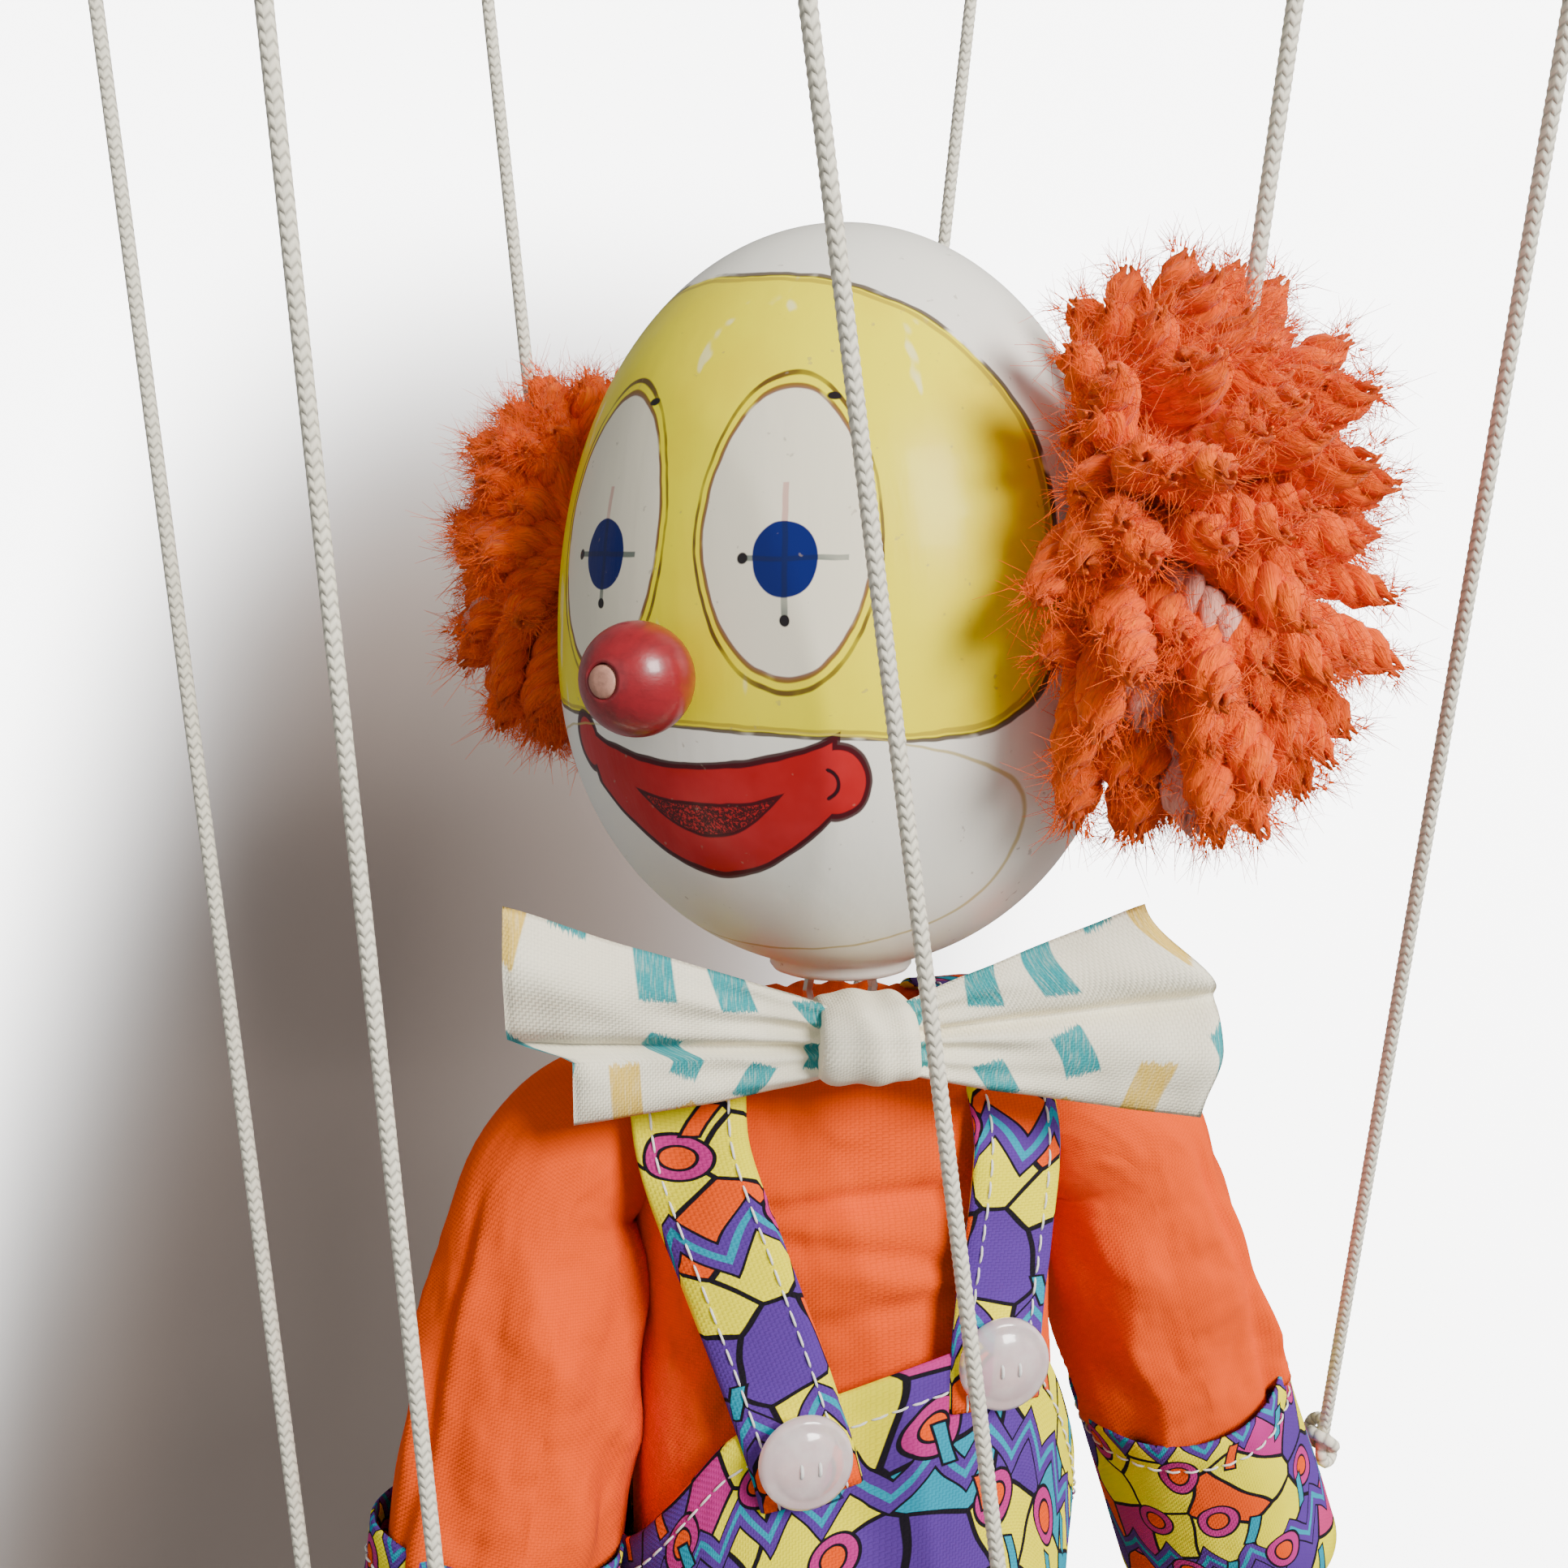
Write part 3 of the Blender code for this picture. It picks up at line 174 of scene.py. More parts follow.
class Finish:
    """One material, with its nodes made by method calls."""

    def __init__(self, name):
        self.material = bpy.data.materials.new(name)
        self.material.use_nodes = True
        self.tree = self.material.node_tree
        self.shader = self.tree.nodes["Principled BSDF"]

    def link(self, socket, value):
        """Sets a socket to a number or a colour, or links a value to it."""
        if isinstance(value, Value):
            self.tree.links.new(value.socket, socket)
        elif isinstance(value, (tuple, list)) and socket.type == "RGBA":
            socket.default_value = (*value[:3], 1)
        else:
            socket.default_value = value

    def node(self, kind, settings=None, sockets=None, output=0):
        """Makes any node: its settings first, then its sockets by name or number."""
        made = self.tree.nodes.new(kind)
        for key, value in (settings or {}).items():
            setattr(made, key, value)
        for key, value in (sockets or {}).items():
            self.link(made.inputs[key], value)
        return Value(self, made.outputs[output])

    def math(self, operation, first, second=0.0):
        """One Math node."""
        return self.node("ShaderNodeMath", {"operation": operation}, {0: first, 1: second})

    def least(self, first, second):
        """The smaller of two values."""
        return self.math("MINIMUM", first, second)

    def most(self, first, second):
        """The larger of two values."""
        return self.math("MAXIMUM", first, second)

    def size(self, value):
        """A value without its sign."""
        return self.math("ABSOLUTE", value)

    def radius(self, x, y):
        """Distance of (x, y) from the middle."""
        return self.math("SQRT", x * x + y * y)

    def step(self, value, low, high):
        """0 below low, 1 above high and smooth between; falls where low is above high."""
        if low > high:
            return 1 - self.step(value, high, low)
        return self.node("ShaderNodeMapRange", {"interpolation_type": "SMOOTHSTEP"},
                         {"Value": value, "From Min": low, "From Max": high})

    def mix(self, factor, first, second, blend="MIX"):
        """One colour over another."""
        return self.node("ShaderNodeMix", {"data_type": "RGBA", "blend_type": blend},
                         {0: factor, 6: first, 7: second}, 2)

    def vector(self, operation, first, second):
        """One Vector Math node."""
        return self.node("ShaderNodeVectorMath", {"operation": operation}, {0: first, 1: second})

    def noise(self, place, scale, detail=3.0, rough=0.55):
        """Smooth noise from 0 to 1."""
        return self.node("ShaderNodeTexNoise", {}, {"Vector": place, "Scale": scale, "Detail": detail,
                                                    "Roughness": rough})

    def grain(self, place, scale, detail=3.0, rough=0.55):
        """Smooth noise with a scale for each axis."""
        return self.noise(self.vector("MULTIPLY", place, scale), 1.0, detail, rough)

    def parts(self, vector):
        """The three parts of a vector."""
        made = self.tree.nodes.new("ShaderNodeSeparateXYZ")
        self.link(made.inputs[0], vector)
        return [Value(self, socket) for socket in made.outputs]

    def joined(self, x, y, z=0.0):
        """A vector from three values."""
        return self.node("ShaderNodeCombineXYZ", {}, {0: x, 1: y, 2: z})

    def place(self):
        """The point of the surface in its piece's own frame, in metres."""
        return self.node("ShaderNodeTexCoord", {}, {}, "Object")

    def cloth(self):
        """The point of the cloth as it was cut, in metres."""
        return self.node("ShaderNodeUVMap", {"uv_map": "cloth"})

    def bump(self, height, depth, strength=1.0):
        """Relief for the Normal socket: height from 0 to 1, depth in metres."""
        normal = self.node("ShaderNodeBump", {}, {"Height": height, "Distance": depth, "Strength": strength})
        self.link(self.shader.inputs["Normal"], normal)

    def set(self, **sockets):
        """Sets the shader's own sockets, with _ for a space."""
        for key, value in sockets.items():
            self.link(self.shader.inputs[key.replace("_", " ")], value)


def shades(name):
    """A colour of the palette as a tuple."""
    return tuple(getattr(bpy.context.scene.figure_colours, name))


def tinted(base, share):
    """A colour made darker or lighter."""
    return tuple(min(1.0, c * share) for c in base)


def sizes():
    """The sizes that a user can set."""
    return bpy.context.scene.figure_sizes


def mesh_object(name, points, faces, base=FIGURE, uvs=None):
    """A mesh piece from points in millimetres and faces; uvs are one (u, v) in metres for each corner."""
    data = bpy.data.meshes.new(name)
    data.from_pydata([tuple(c * MM for c in p) for p in points], [], faces)
    if uvs:
        layer = data.uv_layers.new(name="cloth")
        layer.data.foreach_set("uv", [c for pair in uvs for c in pair])
    made = bpy.data.objects.new(name, data)
    bpy.context.collection.objects.link(made)
    made.matrix_world = base
    data.shade_smooth()
    return made


def turns(count):
    """Angles of points spaced evenly round a ring."""
    return [FULL_TURN * k / count for k in range(count)]


def square_turn(turn, power):
    """A point at an angle on a rounded square of half size 1."""
    x = math.copysign(abs(math.cos(turn)) ** (2 / power), math.cos(turn))
    y = math.copysign(abs(math.sin(turn)) ** (2 / power), math.sin(turn))
    return x, y


def path_length(path):
    """Length of a path, from point to point."""
    return sum((b - a).length for a, b in zip(path, path[1:]))


def skin(name, rows, base=FIGURE, caps=(False, False), flip=False):
    """Skins rows of points, each of which closes on itself. The cloth map is in metres."""
    count = len(rows[0])
    points = [p for row in rows for p in row]
    along = [0.0]
    for low, high in zip(rows, rows[1:]):
        along.append(along[-1] + sum((b - a).length for a, b in zip(low, high)) / count)
    widths = sorted(path_length(row + row[:1]) for row in rows)
    width = widths[len(widths) // 2]
    faces = []
    uvs = []
    for r in range(len(rows) - 1):
        for i in range(count):
            j = (i + 1) % count
            corners = [(r, i, i), (r, j, i + 1), (r + 1, j, i + 1), (r + 1, i, i)]
            if flip:
                corners.reverse()
            faces.append([row * count + column for row, column, _ in corners])
            uvs += [(width * u / count * MM, along[row] * MM) for row, _, u in corners]
    for end, wanted in zip((0, len(rows) - 1), caps):
        if wanted:
            loop = [end * count + i for i in range(count)]
            if (end == 0) != flip:
                loop.reverse()
            faces.append(loop)
            uvs += [(0.0, along[end] * MM)] * count
    return mesh_object(name, points, faces, base, uvs)


def finish_piece(piece, material, body=None, replaces=()):
    """Paints a piece and makes it ride."""
    piece.data.materials.append(material)
    if body:
        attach(piece, body)
    if replaces:
        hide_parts(*replaces)
    return piece


def runs(path):
    """Length of a path up to each of its points."""
    run = [0.0]
    for a, b in zip(path, path[1:]):
        run.append(run[-1] + (b - a).length)
    return run


def step_at(run, want, k=0):
    """The step of a path that a length falls in, looked for from step k, and the share of it."""
    while k < len(run) - 2 and run[k + 1] < want:
        k += 1
    return k, (want - run[k]) / max(TINY, run[k + 1] - run[k])


def smooth_path(points, count):
    """Points evenly spaced in length on a smooth curve through a few points."""
    points = [Vector(p) for p in points]
    padded = [2 * points[0] - points[1], *points, 2 * points[-1] - points[-2]]
    fine = []
    for a, b, c, d in zip(padded, padded[1:], padded[2:], padded[3:]):
        for k in range(CURVE_STEPS):
            t = k / CURVE_STEPS
            fine.append(0.5 * (2 * b + (c - a) * t + (2 * a - 5 * b + 4 * c - d) * t * t
                               + (3 * b - a - 3 * c + d) * t ** 3))
    fine.append(points[-1])
    run = runs(fine)
    spaced = []
    k = 0
    for i in range(count):
        k, share = step_at(run, run[-1] * i / (count - 1), k)
        spaced.append(fine[k].lerp(fine[k + 1], min(1.0, share)))
    return spaced


def frames_along(path, first=None):
    """A tangent and two crossing directions at each point, carried along without twist."""
    tangents = []
    for i in range(len(path)):
        tangents.append((path[min(i + 1, len(path) - 1)] - path[max(i - 1, 0)]).normalized())
    guide = Vector(first) if first else tangents[0].orthogonal()
    found = []
    for t in tangents:
        guide = (guide - t * guide.dot(t)).normalized()
        found.append((t, guide.copy(), t.cross(guide)))
    return found


def sweep(path, reach, count, first=None):
    """Rings round a path; reach(i, turn) is the distance from it."""
    rows = []
    for i, (p, (_, n, b)) in enumerate(zip(path, frames_along(path, first))):
        rows.append([p + (n * math.cos(turn) + b * math.sin(turn)) * reach(i, turn) for turn in turns(count)])
    return rows


def wander(x, y, z, seed=0.0):
    """Smooth noise from -1 to 1."""
    return noise.noise(Vector((x + seed * 7.31, y - seed * 3.17, z + seed * 5.93)))


def ring_wander(turn, size, along, seed):
    """Smooth noise round a ring, without a seam."""
    return wander(size * math.cos(turn), size * math.sin(turn), along, seed)


def ease(value, low, high):
    """0 below low, 1 above high, smooth between."""
    t = min(1.0, max(0.0, (value - low) / (high - low)))
    return t * t * (3 - 2 * t)


# Cloth over the body, in millimetres
TORSO_TOP = -50.25
TORSO_LENGTH = 84.0
TORSO_HALF = (21.0, 13.0)
TORSO_CORNER = 2.6
SHIRT_GROW = 3.8
BIB_GROW = 5.9
BIB_TOP = -82.5
BIB_SIDE_TOP = -106.0
BIB_BACK_TOP = -96.0
BIB_BOTTOM = -156.5


def body_half(height, grow):
    """Half width and half depth of a layer of cloth over the body at a height."""
    fall = (TORSO_TOP - height) / TORSO_LENGTH
    narrow = 0.12 * max(0.0, 1 - 6 * fall) ** 2
    return TORSO_HALF[0] * (1 - narrow) + grow, TORSO_HALF[1] * (1 - narrow) + grow


def body_point(turn, height, grow):
    """A point of a layer of cloth over the body; turn 0 is the figure's left and -90 degrees its chest."""
    half_x, half_y = body_half(height, grow)
    x, y = square_turn(turn, TORSO_CORNER)
    return Vector((half_x * x, half_y * y, height))


def body_depth(x, height, grow):
    """How far from the middle plane a layer of cloth lies."""
    half_x, half_y = body_half(height, grow)
    return half_y * max(0.0, 1 - abs(x / half_x) ** TORSO_CORNER) ** (1 / TORSO_CORNER)


def bib_edge(turn):
    """Height of the dungarees' top edge: a bib that hangs lower on its right, and low at the arms."""
    front = 1.25 * max(0.0, -math.sin(turn)) ** 2
    front = front if front < 0.8 else 1 - 0.25 * math.exp(-(front - 0.8) / 0.22) * 0.8
    front = min(1.0, front)
    back = max(0.0, math.sin(turn)) ** 2
    bib = BIB_TOP + 0.25 * body_point(turn, BIB_TOP, BIB_GROW).x
    return BIB_SIDE_TOP + (bib - BIB_SIDE_TOP) * front + (BIB_BACK_TOP - BIB_SIDE_TOP) * back


def weave(finish, u, v, pitch):
    """Plain weave as a height from 0 to 1."""
    a = finish.size(finish.math("SINE", u * (math.pi / pitch)))
    b = finish.size(finish.math("SINE", v * (math.pi / pitch)))
    turn = finish.math("FLOOR", u / pitch) + finish.math("FLOOR", v / pitch)
    over = finish.math("MODULO", finish.size(turn), 2.0)
    return b + (a - b) * over


def cotton(name, base, dark=0.72, rumpled=0.6):
    """Dyed cotton: base is a colour, or a function that makes one from the cloth's place in millimetres; dark
    sets the painted shade between the threads.
    """
    finish = Finish(name)
    u, v, _ = finish.parts(finish.cloth())
    place = finish.joined(u, v)
    dyed = base(finish, u * 1000, v * 1000) if callable(base) else base
    threads = weave(finish, u, v, sizes().weave_pitch)
    slub = finish.grain(place, (400.0, 4000.0, 1.0), 2.0)
    worn = finish.noise(place, 90.0, 4.0)
    # Painted shade: darker where the weave lies low, between the threads
    shade = finish.mix(finish.step(threads, 0.0, 0.9) * 0.35 + 0.65, (dark, dark, dark), (1, 1, 1))
    dyed = finish.mix(1.0, dyed, shade, "MULTIPLY")
    faded = finish.mix(1.0, dyed, (1.12, 1.2, 1.3), "MULTIPLY")
    dyed = finish.mix(finish.step(worn, 0.35, 0.8) * 0.35 + finish.step(slub, 0.55, 0.9) * 0.2, dyed, faded)
    finish.set(Base_Color=dyed, Roughness=finish.step(worn, 0.2, 0.9) * 0.12 + 0.80, Sheen_Weight=0.02,
               Sheen_Roughness=0.5, Specular_IOR_Level=0.08)
    rumple = finish.grain(place, (55.0, 38.0, 1.0))
    crease = finish.step(finish.size(rumple - 0.5), 0.0, 0.14)
    finish.bump(threads * 0.10 + slub * 0.04 + crease * rumpled, 0.0007, 0.6)
    return finish.material


def cell(finish, u, v, wide, tall, seed):
    """Staggered cells: local place in each from its middle, and three random values for it."""
    row = finish.math("FLOOR", v / tall)
    shifted = u + finish.math("MODULO", finish.size(row), 2.0) * (wide / 2)
    column = finish.math("FLOOR", shifted / wide)
    x = shifted - (column + 0.5) * wide
    y = v - (row + 0.5) * tall
    chance = finish.node("ShaderNodeTexWhiteNoise", {"noise_dimensions": "3D"},
                         {"Vector": finish.joined(column, row, seed)}, "Color")
    return x, y, finish.parts(chance)


def print_pattern(finish, u, v):
    """A bright geometric print of outlined blocks, zigzags, rings and bars; u and v in millimetres."""
    inks = {name: shades(name) for name in ("purple", "magenta", "orange", "teal")}
    inks["ink"] = (0.012, 0.009, 0.014)
    sway = finish.noise(finish.joined(u * 0.09, v * 0.09, 2.0), 1.0, 1.0)
    u = u * 1.45 + (sway - 0.5) * 4.0
    v = v * 1.45 + (finish.noise(finish.joined(u * 0.07, v * 0.13, 9.0), 1.0, 1.0) - 0.5) * 4.0
    block_size = 11.0
    blocks = {"Vector": finish.joined(u / block_size, v / block_size), "Scale": 1.0, "Randomness": 0.85}
    hues = finish.node("ShaderNodeTexVoronoi", {"voronoi_dimensions": "2D"}, blocks, "Color")
    block = finish.parts(hues)[0]
    edge = finish.node("ShaderNodeTexVoronoi", {"voronoi_dimensions": "2D", "feature": "DISTANCE_TO_EDGE"},
                       blocks, "Distance") * block_size
    out = shades("yellow")
    for least, name in ((0.53, "purple"), (0.74, "magenta"), (0.85, "orange"), (0.94, "teal")):
        out = finish.mix(finish.step(block, least, least + 0.002), out, inks[name])
    out = finish.mix(finish.step(edge, 0.42, 0.30), out, inks["ink"])
    tooth = finish.size(finish.math("FRACT", u / 8.0) - 0.5) * 11.0
    band = finish.size(finish.math("FRACT", (v + tooth) / 31.0) * 31.0 - 15.5)
    for far, name in ((2.95, "ink"), (2.45, "purple"), (0.75, "teal")):
        out = finish.mix(finish.step(band, far, far - 0.1), out, inks[name])
    x, y, (chance, hue, size) = cell(finish, u, v, 17.0, 13.0, 3.0)
    here = finish.step(chance, 0.52, 0.53)
    gap = finish.radius(x + (hue - 0.5) * 5.0, y + (size - 0.5) * 3.0)
    for far, name in ((3.9, "ink"), (3.45, "magenta"), (2.15, "ink"), (1.75, "orange")):
        out = finish.mix(finish.step(gap, far, far - 0.1) * here, out, inks[name])
    x, y, (chance, hue, _) = cell(finish, u + 5.0, v + 4.0, 12.0, 9.0, 7.0)
    here = finish.step(chance, 0.66, 0.67)
    slant = x + y * 0.35
    bar = finish.most(finish.size(slant) - 0.85, finish.size(y) - 2.5)
    tone = finish.mix(finish.step(hue, 0.5, 0.51), inks["orange"], inks["teal"])
    out = finish.mix(finish.step(bar, 0.42, 0.32) * here, out, inks["ink"])
    return finish.mix(finish.step(bar, 0.02, -0.08) * here, out, tone)


def dab_pattern(finish, u, v):
    """Cream cotton with loose dabs of a dry brush; u and v in millimetres."""
    out = shades("cream")
    for seed, wide, tall in ((1.0, 10.0, 8.0), (5.0, 14.0, 11.0)):
        x, y, (chance, hue, lean) = cell(finish, u + seed * 2.3, v + seed, wide, tall, seed)
        x = x + (hue - 0.5) * 3.0
        along = x + y * (lean - 0.5) * 1.2
        across = y - x * (lean - 0.5) * 1.2
        bristle = finish.noise(finish.joined(u * 0.4, v * 5.0, seed), 1.0, 2.0)
        ragged = finish.size(along) + (bristle - 0.5) * 2.2
        dab = finish.step(ragged, 3.4, 3.1) * finish.step(finish.size(across), 2.0, 1.75)
        dab = dab * finish.step(chance, 0.22, 0.23) * (finish.step(bristle, 0.30, 0.55) * 0.25 + 0.75)
        tone = finish.mix(finish.step(hue, 0.70, 0.71), (0.030, 0.31, 0.33), (0.78, 0.52, 0.10))
        tone = finish.mix(finish.step(hue, 0.85, 0.86), tone, (0.66, 0.13, 0.30))
        out = finish.mix(dab, out, tone)
    return out


def oval_gap(finish, x, y, middle, half, scale):
    """Signed distance from an oval, about in millimetres, negative inside."""
    a = (x - middle[0]) / half[0]
    b = (y - middle[1]) / half[1]
    return (finish.radius(a, b) - 1.0) * scale


def square_oval(finish, x, y, power):
    """The rounded-square distance of (x, y), where 1 is the edge."""
    return (finish.size(x) ** power + finish.size(y) ** power) ** (1 / power)


# Eyes, in degrees and millimetres: middle, half size, pupil and how far its cross goes each way
EYES = (((21.2, 7.1), (16.3, 14.8), (21.2, 4.4), (-7.7, 11.2, -5.9, 7.4)),
        ((-20.6, 7.7), (16.9, 14.8), (-19.6, 5.3), (-8.8, 9.3, -5.2, 7.0)))
DEGREE = 0.54
GRIME = (0.30, 0.24, 0.17)


def face_paint():
    """Gloss white with a painted mask, eyes and mouth, in degrees round the head and millimetres up it."""
    finish = Finish("painted_face")
    place = finish.place()
    x, y, z = finish.parts(place)

    def elsewhere(*shift):
        """The same place moved off, for noise that doesn't follow the first."""
        return finish.vector("ADD", place, shift)

    lon = finish.math("ARCTAN2", x, 0.0 - y) * (180 / math.pi)
    lon = lon + (finish.noise(place, 75.0, 3.0, 0.6) - 0.5) * 2.6
    height = z * 1000.0 + (finish.noise(elsewhere(0.3, 0.1, 0.7), 75.0, 3.0, 0.6) - 0.5) * 1.6
    line = sizes().line_width * 1000 / 2
    pressed = finish.noise(place, 130.0, 3.0)
    broken = finish.step(finish.noise(elsewhere(0.9, 0.4, 0.2), 210.0, 2.0), 0.30, 0.46)
    brown = (0.060, 0.032, 0.012)
    ink = (0.014, 0.010, 0.012)
    lip_ink = (0.03, 0.006, 0.010)
    tick_ink = (0.06, 0.10, 0.09)
    mottle = finish.noise(place, 38.0, 5.0, 0.6)
    out = finish.mix(finish.step(mottle, 0.35, 0.75) * 0.45, shades("white"), (0.86, 0.845, 0.78))

    def stroke(below, gap, tone, width=1.0, fade=1.0, middle=0.0):
        """A drawn line where gap is near middle."""
        half = (pressed * 0.9 + 0.55) * (line * width)
        mark = finish.step(half - finish.size(gap - middle), -0.06, 0.10)
        return finish.mix(mark * fade, below, tone)

    def fill(below, gap, tone, fade=None):
        """Paint where gap is below 0, with a thin soft edge."""
        mark = finish.step(gap, 0.08, -0.08)
        return finish.mix(mark if fade is None else mark * fade, below, tone)

    level = (height + lon * 0.025 - 11.0) / 23.0
    round_top = square_oval(finish, lon / 74.0, level, 2.6)
    square_foot = square_oval(finish, lon / 74.0, level, 5.0)
    mask = (square_foot + (round_top - square_foot) * finish.step(level, -0.05, 0.05) - 1.0) * 25.0
    patchy = finish.noise(place, 70.0, 4.0)
    yellow = finish.mix(finish.step(patchy, 0.42, 0.72) * 0.55, shades("yellow"), (0.86, 0.66, 0.0))
    streak = finish.grain(place, (260.0, 260.0, 60.0), 2.0)
    yellow = finish.mix(finish.step(streak, 0.66, 0.72) * 0.60, yellow, (0.92, 0.88, 0.55))
    smudge = finish.step(finish.noise(elsewhere(0.2, 0.8, 0.5), 48.0, 4.0), 0.62, 0.80)
    yellow = finish.mix(smudge * finish.step(mask, -9.0, -0.5) * 0.55, yellow, (0.20, 0.13, 0.03))
    out = finish.mix(finish.step(mask, 0.15, -0.15), out, yellow)
    out = stroke(out, mask, brown, 0.95, broken * 0.9, 0.1)
    out = stroke(out, mask, (0.42, 0.30, 0.03), 0.9, 0.75, -0.55)
    for middle, half, pupil, ticks in EYES:
        eye = oval_gap(finish, lon, height, middle, half, 11.0)
        white = finish.mix(mottle * 0.5, (0.86, 0.80, 0.63), (0.79, 0.73, 0.57))
        out = finish.mix(finish.step(eye, -0.35, -0.65), out, white)
        firm = finish.step(pressed, 0.30, 0.60) * 0.5 + 0.45
        out = stroke(out, eye, (0.085, 0.032, 0.014), 0.8, firm, 0.55)
        out = stroke(out, eye, (0.16, 0.048, 0.024), 0.9, broken * 0.55 + 0.35, -0.45)
        dx = lon - pupil[0]
        dy = height - pupil[1]
        fade = finish.step(pressed, 0.25, 0.55) * 0.5 + 0.35
        upright = finish.most(finish.size(dx) * DEGREE - 0.30, finish.most(ticks[2] - dy, dy - ticks[3]))
        level_tick = finish.most(finish.size(dy) - 0.28, finish.most(ticks[0] - dx, dx - ticks[1]) * DEGREE)
        pink = finish.mix(finish.step(dy, 2.0, 4.0), tick_ink, (0.62, 0.36, 0.30))
        round_pupil = oval_gap(finish, dx, dy, (0, 0), (5.9, 3.7), 3.5)
        out = fill(out, upright, pink, fade)
        out = fill(out, level_tick, tick_ink, fade)
        out = fill(out, round_pupil, shades("blue"))
        both = finish.step(finish.least(upright, level_tick), 0.05, -0.1)
        out = finish.mix(both * finish.step(round_pupil, 0.1, -0.1) * 0.45, out, (0.008, 0.012, 0.03))
        for spot in ((ticks[0], 0.0), (0.0, ticks[2])):
            out = fill(out, oval_gap(finish, dx, dy, spot, (0.95, 0.55), 0.5), ink)
        lid = (middle[0] + half[0] * 0.50, middle[1] + half[1] * 0.885)
        corner = oval_gap(finish, lon, height, lid, (1.5, 0.42), 0.5)
        out = finish.mix(finish.step(corner, 0.1, -0.1), out, ink)
    upper_bow = (lon - 2.0) * (lon - 2.0)
    lower_bow = (lon - 3.0) * (lon - 3.0)
    upper = upper_bow * 0.0041 - 16.1
    lower = lower_bow * 0.0094 - 27.5
    smile = finish.most(finish.most(lower - height, height - upper), finish.size(lon - 1.5) * DEGREE - 15.6)
    smile = finish.least(smile, oval_gap(finish, lon, height, (30.6, -17.3), (5.9, 3.7), 3.4))
    smile = finish.least(smile, oval_gap(finish, lon, height, (-28.0, -14.3), (4.6, 3.0), 2.8))
    red = finish.mix(finish.step(patchy, 0.4, 0.7) * 0.5, shades("red"), (0.62, 0.045, 0.05))
    out = finish.mix(finish.step(smile, 0.25, 0.05), out, red)
    out = stroke(out, smile, (0.045, 0.006, 0.010), 1.5, 0.95, 0.05)
    lip = finish.most(height - (upper_bow * 0.0042 - 20.0), lower_bow * 0.0165 - 23.3 - height)
    scribble = finish.noise(finish.joined(lon * 0.9, height * 1.6, 4.0), 1.0, 3.0, 0.7)
    scribbled = finish.step(finish.size(scribble - 0.5), 0.10, 0.04)
    out = finish.mix(finish.step(lip, 0.1, -0.3) * scribbled * 0.9, out, ink)
    out = stroke(out, lip, lip_ink, 0.8, 0.9)
    curl = finish.size(oval_gap(finish, lon, height, (28.3, -17.6), (2.6, 1.5), 1.5))
    out = stroke(out, curl + finish.step(lon, 29.0, 27.5), lip_ink, 0.8)
    cheek = (square_oval(finish, lon / 71.5, (height + 24.3) / 12.3, 2.7) - 1.0) * 14.0
    out = stroke(out, cheek, (0.52, 0.40, 0.10), 0.55, finish.step(height, -11.6, -12.6) * 0.75)
    grime = finish.step(finish.noise(place, 700.0, 2.0), 0.70, 0.76)
    out = finish.mix(grime * 0.45, out, GRIME)
    brushed = finish.grain(place, (420.0, 420.0, 70.0))
    finish.set(Base_Color=out, Roughness=mottle * 0.22 + 0.24, Coat_Weight=0.06, Coat_Roughness=0.10,
               Specular_IOR_Level=0.20)
    finish.bump(brushed * 0.6 + mottle * 0.4, 0.00022, 0.5)
    return finish.material


def gloss_paint(name, base):
    """Brushed gloss paint on wood."""
    finish = Finish(name)
    place = finish.place()
    mottle = finish.noise(place, 60.0, 5.0)
    chips = finish.step(finish.noise(place, 300.0, 3.0), 0.70, 0.78)
    out = finish.mix(finish.step(mottle, 0.4, 0.8) * 0.35, base, tinted(base, 0.72))
    out = finish.mix(chips * 0.35, out, GRIME)
    finish.set(Base_Color=out, Roughness=mottle * 0.15 + 0.20, Coat_Weight=0.3, Coat_Roughness=0.1)
    finish.bump(mottle, 0.00025, 0.4)
    return finish.material


def grained_wood(name, base, grain, gloss=0.5, coat=0.0, heading=0.0):
    """Wood with its grain along the axis of the smallest scale; heading turns the axes, in degrees."""
    finish = Finish(name)
    x, y, z = finish.parts(finish.place())
    ahead = (math.cos(math.radians(heading)), math.sin(math.radians(heading)))
    place = finish.joined(x * ahead[0] + y * ahead[1], y * ahead[0] - x * ahead[1], z)
    fibre = finish.grain(place, grain, 4.0, 0.6)
    broad = finish.grain(place, tuple(g * 0.18 for g in grain), 2.0)
    out = finish.mix(finish.step(fibre, 0.38, 0.75) * 0.75, base, tinted(base, 0.55))
    out = finish.mix(finish.step(broad, 0.4, 0.8) * 0.40, out, tinted(base, 1.35))
    finish.set(Base_Color=out, Roughness=fibre * 0.2 + gloss - 0.1, Coat_Weight=coat, Coat_Roughness=0.12)
    finish.bump(fibre, 0.00012, 0.5)
    return finish.material


